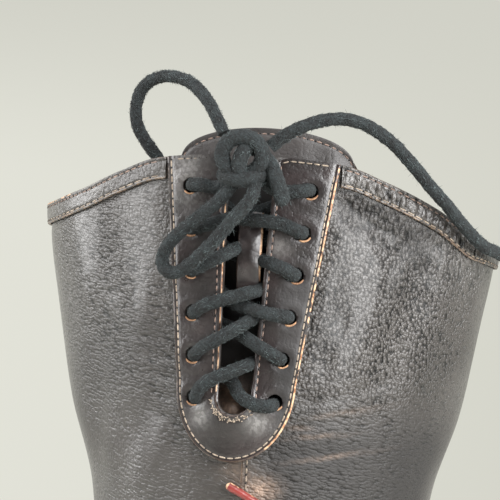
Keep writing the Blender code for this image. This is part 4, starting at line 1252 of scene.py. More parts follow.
def facing_pressed(along, from_slit, from_outside):
    """Sewn lines, dimples round the eyelets and a soft fullness between."""
    px, pz = facing_place(along, from_slit / facing_width(along))
    lift = sewn(from_outside, FACING_SEAM) + sewn(from_slit, SLIT_SEAM)
    for row in range(EYELET_ROWS):
        ex, ez = eyelet_place(row, -1 if along < 0.5 else 1)
        away = math.dist((px, pz), (ex, ez))
        lift += 0.2 * math.exp(-((away - 3.8) / 1.3) ** 2) - 0.3 * math.exp(-((away / 2.5) ** 2))
    return lift + 0.3 * noise.noise(Vector((px, pz, 3.0)) * 0.09)


def facing_raw(along, across):
    """The edge shows tan on the medial outside and the lateral slit side."""
    if across > 0.5:
        return 1.9 if along > 0.56 else 0.1
    return 1.5 if along < 0.34 else 0.1


facing_alongs = [i / 330 for i in range(331)]
facing_bm = strip(
    facing_alongs, 12, facing_width, facing_lift, FACING_THICKNESS, facing_pressed, facing_raw
)
print("facing grid:", len(facing_bm.verts), "points")

# %% Painted sheen and painted shade of the facing
# Painted sheen: pale patches where highlights fall on both sides of the slit's bottom, at the top of the
# lateral limb and beside the slit, and a faint one over the whole lateral limb.
FACING_PAINTED_SHEENS = (
    # x, z, half width, half height, amount
    (-10.6, 354.6, 2.4, 3.4, 0.6), (6.6, 353.6, 3.4, 3.6, 0.6),
    (-17.5, 423.0, 5.0, 8.0, 0.5), (10.0, 403.5, 3.5, 3.5, 0.35),
)
painted_sheen_layer, painted_shade_layer = (facing_bm.verts.layers.float.new(n) for n in ("painted_sheen", "painted_shade"))
for vert in facing_bm.verts:
    vert[painted_sheen_layer] = 0.05 * float(ease((-4.0 - vert.co.x) / 3.0))
    for cx, cz, wide, tall, pale in FACING_PAINTED_SHEENS:
        away = ((vert.co.x - cx) / wide) ** 2 + ((vert.co.z - cz) / tall) ** 2
        vert[painted_sheen_layer] += pale * math.exp(-away)
    # Painted shade on the medial limb between these heights, where it also roughens the leather.
    sheen = ease((vert.co.z - 345.0) / 10.0) * ease((402.0 - vert.co.z) / 10.0)
    vert[painted_shade_layer] = 0.7 * float(sheen * ease((vert.co.x - 9.0) / 4.0))
facing = new_piece("laced_facing", facing_bm, [facing_leather, cut_edge])
punch(facing, False, painted_shade_and_dark_fray)
wear(facing, "facing_leather", "lace_facing")

# %% [markdown]
# ## The collar band
# A narrow strip binds the collar from one edge of the facing round the back to the other. On the
# inner side it is drawn up in short upright wrinkles, which are pressed into its top face.

# %% The band
middle = leaned(0.0, COLLAR_FRONT)
BAND_FROM = front_turn(middle + FACING_HALF_TOP + 0.5, COLLAR_FRONT)
BAND_TO = 2 + front_turn(middle - FACING_HALF_TOP - 0.5, COLLAR_FRONT)
BAND_ROUND = 190.0
BAND_SEAM_TOP, BAND_SEAM_LOW = 1.25, 0.95


def signed_turn(turn):
    return turn if turn <= 1 else turn - 2


def band_lift(turn, across, lift):
    """Across goes from the collar's edge down to the band's lower edge."""
    signed = signed_turn(turn)
    return shaft_lift(signed, collar_height(signed) - BAND_WIDTH * across, GAP + lift)


def band_pressed(turn, from_top, from_low):
    lift = sewn(from_top, BAND_SEAM_TOP, 0.2) + sewn(from_low, BAND_SEAM_LOW, 0.22)
    drawn = float(ease((turn - 0.11) / 0.05) * ease((0.42 - turn) / 0.08))
    arc = turn * BAND_ROUND
    wave = math.sin(arc * 2.35 + 1.4 * math.sin(arc * 0.37) + 0.35 * from_top)
    fold = drawn * math.exp(-(((from_top - 3.4) / 2.0) ** 2))
    return lift + 0.42 * fold * wave + 0.1 * noise.noise(Vector((arc, from_top, 8.0)) * 0.3)


band_alongs = [lerp(BAND_FROM, BAND_TO, i / 620) for i in range(621)]
band_bm = strip(
    band_alongs, 2, lambda turn: BAND_WIDTH, band_lift, BAND_THICKNESS, band_pressed,
    lambda turn, across: 0.25 if across > 0.5 else 0.15,
)
upright_layer = band_bm.verts.layers.float.new("upright")
raw_layer = band_bm.verts.layers.float["raw"]
for vert in band_bm.verts:
    vert[upright_layer] = 0.6 if vert.co.x > 22 and vert.co.y < 60 else 0.12
    if vert.co.y < 52 and -72 < vert.co.x < -57 and collar_at(vert.co.x) - vert.co.z < 0.5:
        vert[raw_layer] = 0.9
band = new_piece("collar_strip", band_bm, [band_leather, cut_edge])
wear(band, "band_leather", "collar_band")

# %% [markdown]
# ## The tongue and its keeper
# The tongue is a leaf behind the slit with a rounded, stitched top. Half-way up, a narrow keeper
# strip stands off it, and the lace passes behind that strip. Solidify and a small bevel give the
# leaf its thickness, because its edge is plain all round.

# %% Form of the tongue
TONGUE_SEAM = 1.6


def tongue_edge(u):
    """Top and bottom heights of the tongue at a share u of its half-width."""
    top = COLLAR_FRONT + TONGUE_PROUD - TONGUE_ARCH
    return (
        top + TONGUE_ARCH * max(0.0, 1 - u * u) ** 0.4,
        COLLAR_FRONT - TONGUE_LENGTH - 10.0 * math.sqrt(max(0.0, 1 - u * u)),
    )


def tongue_lift(u, v, lift):
    top, low = tongue_edge(u)
    pz = lerp(low, top, v)
    share = min(1.0, max(0.0, (pz - (COLLAR_FRONT - TONGUE_LENGTH)) / (TONGUE_LENGTH - 3.0)))
    px = lerp(TONGUE_SHIFT * 0.3 + 15.0 * u, TONGUE_SHIFT + TONGUE_HALF * u, share)
    above = float(ease((pz - (COLLAR_FRONT - 80.0)) / 14.0))
    gap = lerp(TONGUE_GAP_LOW, TONGUE_GAP_TOP, above)
    return front_lift(px, pz, lift - UPPER_WALL - gap)


def tongue_place(i, j):
    u, v = math.sin(math.pi / 2 * (i / 45 - 1)), 1 - (1 - j / 120) ** 1.25
    top, low = tongue_edge(u)
    from_top = (1 - v) * (top - low)
    dip = sewn(from_top, TONGUE_SEAM, 0.25, 0.6) + 0.3 * noise.noise(Vector((u * 4, v * 5, 1.0)))
    low = SLIT_BOTTOM + 2.0
    flat = tongue_lift(u, v, dip)
    pushed = math.exp(-((flat.x - leaned(0.0, low)) ** 2 + (flat.z - low) ** 2) / 3.4 ** 2)
    return tongue_lift(u, v, dip + 1.9 * pushed + 0.9 * float(throat_swell(flat.x, flat.z)))


print("tongue, mm above the collar:", round(tongue_edge(0.0)[0] - COLLAR_FRONT, 1))

# %% The tongue
def tongue_painted_shade(i, j):
    """Painted shade in the throat behind the lace, fading out towards its open bottom."""
    pz = tongue_place(i, j).z
    return float(0.85 * ease((COLLAR_FRONT - 2.0 - pz) / 5.0) * ease((pz - 363.0) / 7.0))


def tongue_painted_light(i, j):
    """Painted light on the bit of tongue in the slit's bottom, which shows lit brown there."""
    place = tongue_place(i, j)
    low = SLIT_BOTTOM + 4.0
    away = (place.x - leaned(0.0, low)) ** 2 + (place.z - low) ** 2
    return math.exp(-away / 5.5 ** 2)


tongue = new_piece(
    "tongue_leaf",
    wrapped_grid(90, 120, tongue_place, {"painted_shade": tongue_painted_shade, "scuff_and_painted_light": tongue_painted_light}),
    [tongue_leather, tongue_leather, cut_edge],
)
leaf = tongue.modifiers.new("Leaf", "SOLIDIFY")
leaf.thickness = TONGUE_THICKNESS * MM
leaf.offset = -1.0
leaf.material_offset_rim = 2
soft = tongue.modifiers.new("Soft edge", "BEVEL")
soft.width, soft.segments, soft.limit_method = 0.35 * MM, 2, "ANGLE"
soft.angle_limit = math.radians(50)
wear(tongue, "tongue_leather", "tongue")

# %% The keeper
KEEPER_X, KEEPER_HALF = 1.3, 3.6
KEEPER_LOW, KEEPER_HIGH = 386.0, 415.0
KEEPER_STAND, KEEPER_THICKNESS = -0.9, 1.1


def keeper_lift(along, across, lift):
    pz = lerp(KEEPER_LOW, KEEPER_HIGH, along)
    px = KEEPER_X + KEEPER_HALF * (2 * across - 1)
    arch = max(0.0, math.sin(math.pi * along)) ** 0.55
    crown = 0.9 * (1 - (2 * across - 1) ** 2)
    base = -(UPPER_WALL + TONGUE_GAP_TOP) + GAP
    return front_lift(px, pz, lerp(base, KEEPER_STAND, arch) + crown * arch + lift)


keeper = new_piece(
    "keeper_strap",
    strip([i / 60 for i in range(61)], 6, lambda a: 2 * KEEPER_HALF, keeper_lift, KEEPER_THICKNESS,
          lambda a, d, e: 0.2 * noise.noise(Vector((d, a * 20, 2.0)) * 0.4),
          lambda a, across: 1.0 if across > 0.5 else 0.0),
    [keeper_leather],
)
wear(keeper, "tongue_leather", "lace_keeper")

# %% [markdown]
# ## Stitches
# Every seam is a row of short stitches that rise a little out of the leather and dive into needle
# holes. One stitch is a stretched sphere of eighty triangles, and a row is that stitch repeated by
# arrays into one joined mesh, which is far lighter than an object for each.

# %% Stitch builder
def repeated(name, template, matrices, stuff):
    """One mesh of many copies of a small template."""
    template.verts.ensure_lookup_table()
    points = np.array([v.co[:] for v in template.verts])
    faces = np.array([[v.index for v in f.verts] for f in template.faces])
    copies = np.array([np.array(m) for m in matrices])
    placed = np.einsum("mij,nj->mni", copies[:, :3, :3], points) + copies[:, None, :3, 3]
    shifted = faces[None] + (np.arange(len(copies)) * len(points))[:, None, None]
    corners = faces.shape[1]
    mesh = bpy.data.meshes.new(name)
    mesh.from_pydata((placed.reshape(-1, 3) * MM).tolist(), [], shifted.reshape(-1, corners).tolist())
    mesh.materials.append(stuff)
    mesh.polygons.foreach_set("use_smooth", [True] * len(mesh.polygons))
    made = bpy.data.objects.new(name, mesh)
    bpy.context.collection.objects.link(made)
    return made


def small_bead():
    """A bead of triangles, one unit long and wide."""
    bm = bmesh.new()
    bmesh.ops.create_icosphere(bm, subdivisions=2, radius=0.5)
    return bm


print("faces of one stitch:", len(small_bead().faces))

# %% Stitches along a line
STITCH_SINK, HOLE_SINK = 0.02, 0.06
HOLE_SIZE = (0.55, 0.62, 0.6)


def sized_frame(centre, along, side, out_of, size):
    turned = Matrix((along, side, out_of)).transposed()
    return Matrix.Translation(centre) @ (turned @ Matrix.Diagonal(size)).to_4x4()


def stitch_frames(line, pitch, fill, thick):
    """Places of stitches and needle holes along a line of (point, outward normal) pairs."""
    points = [p for p, _ in line]
    lengths = np.concatenate([[0], np.cumsum([(q - p).length for p, q in zip(points, points[1:])])])
    frames, holes = [], []
    count = int(lengths[-1] // pitch)

    def at_length(d):
        k = min(len(points) - 2, max(0, int(np.searchsorted(lengths, d)) - 1))
        t = (d - lengths[k]) / max(1e-6, lengths[k + 1] - lengths[k])
        return points[k].lerp(points[k + 1], t), line[k][1].lerp(line[k + 1][1], t).normalized()

    for n in range(count):
        start, out_of = at_length((n + (1 - fill) / 2) * pitch)
        end, _ = at_length((n + (1 + fill) / 2) * pitch)
        along = end - start
        ahead, side = along.normalized(), out_of.cross(along).normalized()
        jitter = 0.07 * math.sin(n * 12.9898) * side
        centre = (start + end) / 2 + jitter - out_of * STITCH_SINK
        size = (along.length * (1.0 + 0.1 * math.sin(n * 4.1)), thick, thick * 0.8)
        frames.append(sized_frame(centre, ahead, side, out_of, size))
        hole, hole_out = at_length(n * pitch)
        holes.append(sized_frame(hole - hole_out * HOLE_SINK, ahead, side, hole_out, HOLE_SIZE))
    return frames, holes


def surface_line(place, steps):
    """Points and outward normals from place(t, lift), t going from 0 to 1."""
    line = []
    for i in range(steps + 1):
        point = place(i / steps, 0.0)
        line.append((point, (place(i / steps, 1.0) - point).normalized()))
    return line


print("needle holes, mm:", HOLE_SIZE)

# %% Lines of the facing's and the collar's seams
def facing_seam(offset, outside, start=0.006, end=0.994):
    """A line at a distance from an edge, on the pressed face of the facing."""
    def place(t, lift):
        along = lerp(start, end, t)
        wide = facing_width(along)
        from_slit = wide - offset if outside else offset
        pressed = facing_pressed(along, from_slit, wide - from_slit)
        return facing_lift(along, from_slit / wide, FACING_THICKNESS + pressed + 0.1 + lift)
    return surface_line(place, 400)


def facing_top_seam(side):
    def place(t, lift):
        along = 0.5 + side * (0.5 - 0.0052)
        return facing_lift(along, lerp(0.1, 0.92, t), FACING_THICKNESS + lift)
    return surface_line(place, 60)


def band_seam(offset):
    def place(t, lift):
        turn = lerp(BAND_FROM + 0.004, BAND_TO - 0.004, t)
        return band_lift(turn, offset / BAND_WIDTH, BAND_THICKNESS - 0.16 + lift)
    return surface_line(place, 500)


print("points on the facing's outer seam:", len(facing_seam(FACING_SEAM, True)))

# %% Seams of the facing and the collar
FACING_PITCH = 2.25
LOOSE_THREADS = 75
cream_frames, dull_frames, hole_frames = [], [], []
for line, pitch, fill, thick, kept in (
    (facing_seam(FACING_SEAM, True), FACING_PITCH, 1.0, 0.48, cream_frames),
    (facing_seam(SLIT_SEAM, False, 0.006, 0.36), FACING_PITCH, 0.68, 0.46, dull_frames),
    (facing_seam(SLIT_SEAM, False, 0.64, 0.994), FACING_PITCH, 0.68, 0.46, dull_frames),
    (facing_top_seam(-1), FACING_PITCH, 0.9, 0.44, cream_frames),
    (facing_top_seam(1), FACING_PITCH, 0.9, 0.44, cream_frames),
    (band_seam(BAND_SEAM_TOP), 2.4, 0.85, 0.42, dull_frames),
    (band_seam(BAND_WIDTH - BAND_SEAM_LOW), 3.0, 0.9, 0.44, cream_frames),
):
    frames, holes = stitch_frames(line, pitch, fill, thick)
    kept += frames
    hole_frames += holes
loose = np.random.default_rng(3)
for _ in range(LOOSE_THREADS):
    round_slit = facing_seam(loose.uniform(0.5, 2.3), False, 0.36, 0.64)
    spot, out_of = round_slit[int(loose.integers(10, 390))]
    turned = out_of.to_track_quat("Z", "Y").to_matrix() @ Matrix.Rotation(loose.uniform(0, 3.1), 3, "Z")
    size = Matrix.Diagonal((loose.uniform(0.4, 1.1), 0.36, 0.4))
    cream_frames.append(Matrix.Translation(spot) @ (turned @ size).to_4x4())
wear(repeated("seam_stitches", small_bead(), cream_frames, cream_thread), "facing_leather")
wear(repeated("inner_stitches", small_bead(), dull_frames, dull_thread), "facing_leather")

# %% Seams of the tongue and the front lap
def tongue_seam(t, lift):
    u = math.sin(math.pi / 2 * (1.94 * t - 0.97))
    top, low = tongue_edge(u)
    return tongue_lift(u, 1 - TONGUE_SEAM / (top - low), lift - 0.22)


def lap_seam(t, lift):
    """Down the front from under the facing to the toe, beside the lap's edge."""
    turn, on_shaft_length = SEAM_TURN + 0.0075, SEAM_TOP - SHAFT_BASE_Z
    reach = lerp(0.0, on_shaft_length + SHAFT_RUN - 14.0, t)
    if reach < on_shaft_length:
        return shaft_lift(turn, SEAM_TOP - reach, LAP_RISE + lift)
    run = SHAFT_RUN - (reach - on_shaft_length)
    point = foot_point(run, turn)
    around = foot_point(run, turn + 0.01) - point
    rise = foot_point(run + 1.0, turn) - point
    return point + around.cross(rise).normalized() * (LAP_RISE + lift)


tongue_frames, tongue_holes = stitch_frames(surface_line(tongue_seam, 200), 2.3, 0.7, 0.46)
lap_frames, lap_holes = stitch_frames(surface_line(lap_seam, 500), 2.4, 0.72, 0.45)
hole_frames += tongue_holes + lap_holes
wear(repeated("tongue_stitches", small_bead(), tongue_frames, dull_thread), "tongue_leather")
wear(repeated("lap_stitches", small_bead(), lap_frames, cream_thread), "shaft_leather")
# Dark beads sunk at the needle holes are painted shade inside the holes.
wear(repeated("needle_hole_shade_beads", small_bead(), hole_frames, needle_hole_shade), "facing_leather")

# %% [markdown]
# ## The lace
# A thick suede lace starts behind the lowest eyelets. Each half comes out of an eyelet, crosses
# the slit, dives under the far facing and comes out one row higher. Its route is a list of places
# on the front with a height over the leather, so it never has to be guessed in space.

# %% Lace route through the eyelets
OVER = GAP + FACING_THICKNESS + 0.2 + LACE_RADIUS
UNDER = -(UPPER_WALL + LACE_RADIUS + 0.3)
STRANDS = {
    # (row, side): places on the way over the slit, as x, z, height over the leather
    (0, -1): ((-9.0, 363.6, OVER), (-4.0, 366.6, OVER), (1.0, 368.9, 2.9), (4.0, 370.2, -0.4)),
    (0, 1): ((8.0, 358.4, OVER), (4.6, 358.9, 3.3), (0.6, 361.0, 1.0), (-2.4, 364.9, -1.2)),
    (1, -1): ((-9.5, 374.4, OVER), (-4.0, 377.8, OVER), (1.5, 381.6, 2.9), (4.6, 383.6, -0.4)),
    (1, 1): ((8.6, 373.6, OVER), (4.6, 375.8, 3.0), (0.6, 378.0, 0.4), (-2.6, 379.8, -1.4)),
    (2, -1): ((-9.8, 386.1, OVER), (-4.0, 388.3, OVER), (2.0, 390.2, 2.9), (5.0, 391.1, -0.4)),
    (2, 1): ((9.2, 384.5, OVER), (5.0, 385.2, 3.2), (0.6, 386.2, 0.5), (-3.0, 387.2, -1.4)),
    (3, -1): ((-10.0, 398.2, OVER), (-6.2, 400.2, OVER), (-3.6, 402.0, 0.6), (0.8, 404.2, -2.8)),
    (3, 1): ((11.5, 397.5, OVER), (8.6, 398.6, 3.4), (6.0, 399.6, 0.2), (2.0, 400.2, -4.3),
             (-3.0, 400.8, UNDER)),
    (4, -1): ((-10.5, 409.0, OVER), (-6.5, 410.2, OVER - 0.6), (-3.8, 411.5, -0.5), (0.5, 413.0, -4.3)),
    (4, 1): ((11.0, 410.0, OVER), (6.4, 410.8, OVER), (1.0, 411.1, 0.3), (-3.4, 411.8, -1.6)),
}
TO_KNOT = {
    -1: ((-12.5, 420.3, OVER), (-8.4, 419.7, OVER + 0.3), (-5.0, 421.0, 5.6), (-2.6, 424.0, 7.6)),
    1: ((14.2, 419.9, OVER), (10.2, 419.4, OVER + 0.3), (6.6, 420.6, 5.6), (3.8, 423.6, 7.6)),
}


ROUTE_STEP = 0.55


def lace_run(first_side):
    """Half of the lace, from the hidden bar behind the lowest eyelets up to the knot."""
    places = [(0.0, SLIT_BOTTOM - 3.6, UNDER + 0.4)]
    side = first_side
    for row in range(EYELET_ROWS):
        ex, ez = eyelet_place(row, side)
        rise = -0.9 if (row, side) == (0, 1) else 0.3
        places += [(ex + 0.5 * side, ez, UNDER), (ex, ez + rise, -1.0), (ex - 0.9 * side, ez + rise, 2.5)]
        if row == EYELET_ROWS - 1:
            places += TO_KNOT[side]
            break
        places += STRANDS[(row, side)]
        _, next_z = eyelet_place(row + 1, -side)
        last_z = STRANDS[(row, side)][-1][1]
        places.append((leaned(-7.6 * side, last_z), lerp(last_z, next_z, 0.35), UNDER))
        side = -side
    return smooth_route([front_lift(*p) for p in places], ROUTE_STEP)


def route_length(route):
    return sum((q - p).length for p, q in zip(route, route[1:]))


lace_runs = [lace_run(side) for side in (-1, 1)]
print("lace over the front, mm:", round(sum(route_length(run) for run in lace_runs)))

# %% Tube builder
END_ROUNDING = (0.35, 0.72, 0.92)


def tube(route, radius, sides=18, bare_start=False, bare_end=False, flat=0.0):
    """A slightly uneven tube along a route, with rounded bare ends."""
    count = len(route)
    ahead = [
        (route[min(i + 1, count - 1)] - route[max(i - 1, 0)]).normalized() for i in range(count)
    ]
    side = ahead[0].orthogonal().normalized()
    frames = []
    for direction in ahead:
        side = (side - direction * side.dot(direction)).normalized()
        frames.append((side, direction.cross(side)))

    def place(i, j):
        angle = 2 * math.pi * i / sides
        spoke = frames[j][0] * math.cos(angle) + frames[j][1] * math.sin(angle)
        size = radius * (1 + flat * math.cos(2 * angle))
        size *= 1 + 0.10 * noise.noise(route[j] * 0.55 + spoke * 0.5)
        size *= 1 + 0.07 * noise.noise(route[j] * 1.3 + spoke * 2.2)
        steps = min(j if bare_start else count, count - 1 - j if bare_end else count)
        size *= END_ROUNDING[steps] if steps < len(END_ROUNDING) else 1.0
        return route[j] + spoke * size

    bm = wrapped_grid(sides, count - 1, place)
    close_seams(bm)
    return bm


def joined(name, parts, materials):
    """One piece from several meshes."""
    whole = parts[0]
    for other in parts[1:]:
        mesh = bpy.data.meshes.new("part")
        other.to_mesh(mesh)
        other.free()
        whole.from_mesh(mesh)
        bpy.data.meshes.remove(mesh)
    return new_piece(name, whole, materials, sharp=80.0)


laced = joined(
    "lace_through_eyelets", [tube(r, LACE_RADIUS, flat=0.04) for r in lace_runs], [lace_suede]
)
wear(laced, "lace_suede", "lace_top_bar", *(f"lace_cross_{n}" for n in range(1, EYELET_ROWS)))

# %% [markdown]
# ## Lit rims of the eyelets
# The lower wall of each punched hole faces up to the light, so its tan cut edge shows there while
# the rest of the wall is painted shade. A mask on the facing would need a much finer grid there, so
# each lit rim is a thin bent tube of cut leather.

# %% Eyelet rims
def lit_rim_of_eyelet(row, side):
    """The lit lower half of an eyelet's rim, under the lace: the tan cut edge shows only where light
    falls.
    """
    ex, ez = eyelet_place(row, side)
    arc = [math.radians((212 if side < 0 else 238) + 8 * k) for k in range(13)]
    reach = EYELET_RADIUS + 0.05
    lift = GAP + FACING_THICKNESS - 0.14
    places = [front_lift(ex + reach * math.cos(a), ez + reach * math.sin(a), lift) for a in arc]
    return tube(places, 0.3, sides=8, bare_start=True, bare_end=True)


rims = [lit_rim_of_eyelet(row, side) for row in range(EYELET_ROWS) for side in (-1, 1)]
wear(joined("lit_eyelet_rims", rims, [cut_edge]), "facing_leather")

# %% [markdown]
# ## The knot, the bow loop and the ends
# The two halves meet in a loose knot. One bow loop hangs in front, one end arches over the collar
# into the boot, the other arches over the collar on the inner side and hangs outside. These are
# free cords, so each follows the route of its CAD solid and states its real length.

# %% Knot
KNOT_CENTRE = Vector((-0.6, -20.5, 428.9))
KNOT_RADIUS = 2.2
RING_ROUTE = [
    (5.7 * math.cos(a), -1.3 + 1.9 * math.cos(a * 0.5 + 2.2), 5.3 * math.sin(a))
    for a in (math.radians(285 - 15 * k) for k in range(25))
]
CORE_ROUTE = (
    (2.4, 2.0, 2.4), (1.6, -1.6, 2.3), (0.2, -3.3, 0.9),
    (-0.6, -3.5, -2.0), (-0.6, -2.6, -4.6), (0.2, 0.5, -6.6),
)
WRAP_ROUTE = (
    (-5.6, 0.6, -5.4), (-3.6, -2.2, -6.4), (0.0, -3.6, -6.9),
    (3.4, -2.9, -6.2), (5.4, -0.4, -4.6), (5.2, 1.6, -2.4),
)
STUB_ROUTE = ((4.6, -20.3, 429.6), (7.4, -21.0, 426.4), (10.0, -22.2, 421.0), (11.6, -21.4, 415.3))


def knot_route(route):
    return smooth_route([KNOT_CENTRE + Vector(p) for p in route], ROUTE_STEP)


knot_routes = [knot_route(r) for r in (RING_ROUTE, CORE_ROUTE, WRAP_ROUTE)]
stub_route = smooth_route(STUB_ROUTE, ROUTE_STEP)
knot = joined(
    "lace_knot_turns",
    [tube(r, KNOT_RADIUS) for r in knot_routes] + [tube(stub_route, KNOT_RADIUS, bare_end=True)],
    [lace_suede],
)
wear(knot, "lace_suede", "lace_knot", "lace_stub")

# %% Routes of the free cords
TAIL_LEFT_ROUTE = (
    # x, y, z
    (-6.5, -20.5, 435.0), (-10.2, -19.0, 441.6), (-13.8, -16.0, 446.0), (-19.0, -12.0, 450.0),
    (-26.0, -8.0, 451.5), (-31.5, -5.0, 450.0), (-34.7, -3.0, 446.5), (-36.0, -1.0, 441.0),
    (-35.0, 0.5, 436.0), (-32.0, 1.5, 431.5), (-28.7, 2.5, 427.0), (-26.0, 4.0, 420.0),
    (-24.0, 5.0, 411.5), (-23.0, 5.5, 403.0), (-23.0, 6.0, 395.0),
)
TAIL_RIGHT_ROUTE = (
    # x, y, z
    (6.9, -20.5, 431.8), (11.7, -20.5, 435.6), (18.3, -20.0, 439.0), (26.0, -18.5, 440.6),
    (33.0, -15.5, 439.4), (40.3, -11.0, 435.0), (46.6, -7.0, 428.8), (51.3, -2.5, 423.4),
    (56.4, 3.5, 418.0), (61.1, 10.0, 412.5), (66.9, 17.5, 407.1), (71.3, 27.0, 405.2),
    (75.2, 36.0, 402.0), (77.6, 42.5, 395.5), (78.3, 46.0, 387.0), (78.3, 47.0, 377.0),
    (78.2, 47.0, 367.0),
)
LOOP_ROUTE = (
    # x, y, z
    (-2.8, -21.5, 421.4), (-6.5, -21.5, 416.4), (-13.2, -20.5, 410.5), (-19.7, -18.0, 404.8),
    (-22.9, -16.5, 399.8), (-22.4, -16.5, 396.1), (-19.3, -17.5, 394.8), (-15.3, -19.5, 397.0),
    (-9.4, -22.0, 402.4), (-2.4, -24.0, 410.6), (2.7, -24.5, 417.0), (3.8, -24.0, 421.6),
)


print("points by hand:", len(TAIL_LEFT_ROUTE), len(TAIL_RIGHT_ROUTE), len(LOOP_ROUTE))

# %% Free cords
def free_lace(name, points, node, far_end, radius):
    route = smooth_route(points, ROUTE_STEP)
    made = new_piece(name, tube(route, radius, bare_end=far_end == "bare"), [lace_suede], 80.0)
    wear(made, "lace_suede", node)
    long = route_length(route)
    print(name, "length, mm:", round(long, 1))
    return route


loop_route = free_lace("lace_bow_loop", LOOP_ROUTE, "lace_loop", "object", 1.85)
left_route = free_lace("lace_end_left", TAIL_LEFT_ROUTE, "lace_tail_left", "bare", 1.8)
right_route = free_lace("lace_end_right", TAIL_RIGHT_ROUTE, "lace_tail_right", "bare", 1.85)

# %% [markdown]
# ## Nap and fray
# Suede carries a nap: some fibres stand up and blur the lace's edge, others lie flat along it and
# catch the light. The cut collar is frayed too. Thousands of fibres are too many for operators, so
# each is one small cone, repeated by arrays with a seeded generator.

# %% Fibre builder
def small_spike():
    """A three-sided spike along X, one unit long."""
    bm = bmesh.new()
    bmesh.ops.create_cone(bm, cap_ends=True, segments=3, radius1=0.5, radius2=0.0, depth=1.0)
    bmesh.ops.translate(bm, vec=(0, 0, 0.5), verts=bm.verts)
    bmesh.ops.rotate(bm, matrix=Matrix.Rotation(math.radians(90), 3, "Y"), verts=bm.verts)
    bmesh.ops.triangulate(bm, faces=bm.faces)
    return bm


def fibre(base, direction, length, thick):
    turned = direction.to_track_quat("X", "Z").to_matrix()
    return Matrix.Translation(base) @ (turned @ Matrix.Diagonal((length, thick, thick))).to_4x4()


print("faces of one fibre:", len(small_spike().faces))

# %% Nap of the lace
STANDING_PER_MM, LYING_PER_MM = 9.0, 7.0
STANDING_THICK, LYING_THICK = 0.13, 0.17
draw = np.random.default_rng(7)


def spot_on_lace(route):
    """A place drawn on a lace: its index, the way along it and a way out of it."""
    k = int(draw.integers(0, len(route) - 1))
    ahead = (route[k + 1] - route[k]).normalized()
    spoke = ahead.orthogonal().normalized()
    spoke.rotate(Matrix.Rotation(draw.uniform(0, 2 * math.pi), 3, ahead))
    return k, ahead, spoke


nap = []
napped = [(route, LACE_RADIUS) for route in lace_runs + [loop_route, left_route, right_route]]
napped += [(route, KNOT_RADIUS) for route in knot_routes + [stub_route]]
for route, radius in napped:
    for _ in range(int(STANDING_PER_MM * ROUTE_STEP * len(route))):
        k, ahead, spoke = spot_on_lace(route)
        base = route[k].lerp(route[k + 1], draw.uniform()) + spoke * radius * 0.93
        direction = (spoke + ahead * draw.normal(0, 1.1)).normalized()
        nap.append(fibre(base, direction, 0.35 + draw.exponential(0.35), STANDING_THICK))
    for _ in range(int(LYING_PER_MM * ROUTE_STEP * len(route))):
        k, ahead, spoke = spot_on_lace(route)
        direction = (ahead + spoke * 0.12 + ahead.cross(spoke) * draw.normal(0, 0.5)).normalized()
        nap.append(fibre(route[k] + spoke * radius, direction, draw.uniform(0.6, 1.7), LYING_THICK))
# The nap's pale fibres are painted sheen.
wear(repeated("lace_nap", small_spike(), nap, lace_fibre_painted_sheen), "lace_suede")

# %% Fray of the collar
FRAY_COUNT, FRAY_THICK = 1500, 0.07
fray = []
for _ in range(FRAY_COUNT):
    turn = draw.uniform(BAND_FROM, BAND_TO)
    base = band_lift(turn, 0.03, draw.uniform(-1.6, 0.7))
    direction = Vector((draw.normal(0, 0.6), draw.normal(0, 0.6), draw.uniform(0.2, 1.0))).normalized()
    fray.append(fibre(base, direction, 0.2 + draw.exponential(0.2), FRAY_THICK))
wear(repeated("collar_fray", small_spike(), fray, painted_shade_and_dark_fray), "band_leather")

# %% [markdown]
# ## The red thong
# A thin rolled thong of red leather lies across the front seam, just below the facing. It could be
# a bevelled curve, but the lace's tube builder makes it with the same soft unevenness. Its cut end
# is pale, which one mask on its points shows.

# %% Thong
THONG_ROUTE = (
    # x, z
    (-1.6, 335.2), (1.7, 333.5), (4.6, 331.8), (7.5, 330.1), (11.0, 328.0), (14.4, 325.8),
)
thong_route = [
    front_lift(p.x, p.z, GAP + 0.5 + THONG_RADIUS)
    for p in smooth_route([(a, 0.0, b) for a, b in THONG_ROUTE], 0.35)
]
thong_bm = tube(thong_route, THONG_RADIUS, bare_start=True, bare_end=True)
raw_layer = thong_bm.verts.layers.float.new("raw")
for vert in thong_bm.verts:
    centre = min(thong_route, key=lambda p: (p - vert.co).length)
    worn_top = 0.9 if (vert.co - centre).z > 0.8 * THONG_RADIUS else 0.0
    vert[raw_layer] = 3.0 if (vert.co - thong_route[0]).length < THONG_RADIUS * 1.05 else worn_top
thong = new_piece("red_thong_roll", thong_bm, [red_leather], 80.0)
wear(thong, "red_leather", "red_thong")

# %% [markdown]
# ## The bottom
# The sole and insole lie outside the photograph and are finished plainly, with the same outline
# functions as the solids. A maker cuts both flat and bends them to the last, so each is a bent
# sheet that Solidify and a bevel finish.

# %% Bottom leathers
sole_leather = leather(
    "sole_leather", (0.03, 0.022, 0.018), (0.075, 0.055, 0.042), gloss=0.5,
    grain=(0.0, 0.1, 0.0, 0.3), depth=0.2,
)
welt_leather = leather(
    "welt_leather", (0.04, 0.028, 0.02), (0.09, 0.062, 0.045), gloss=0.55,
    grain=(0.0, 0.1, 0.1, 0.3), depth=0.2,
)
insole_leather = leather(
    "insole_leather", (0.28, 0.185, 0.11), (0.42, 0.30, 0.19), gloss=0.7,
    grain=(0.0, 0.05, 0.0, 0.3), depth=0.2,
)
top_piece_rubber = plain_stuff(
    "top_piece_rubber", (0.012, 0.012, 0.012), (0.03, 0.03, 0.03), 0.8, 700.0, 0.15
)
print("bottom leathers ready")

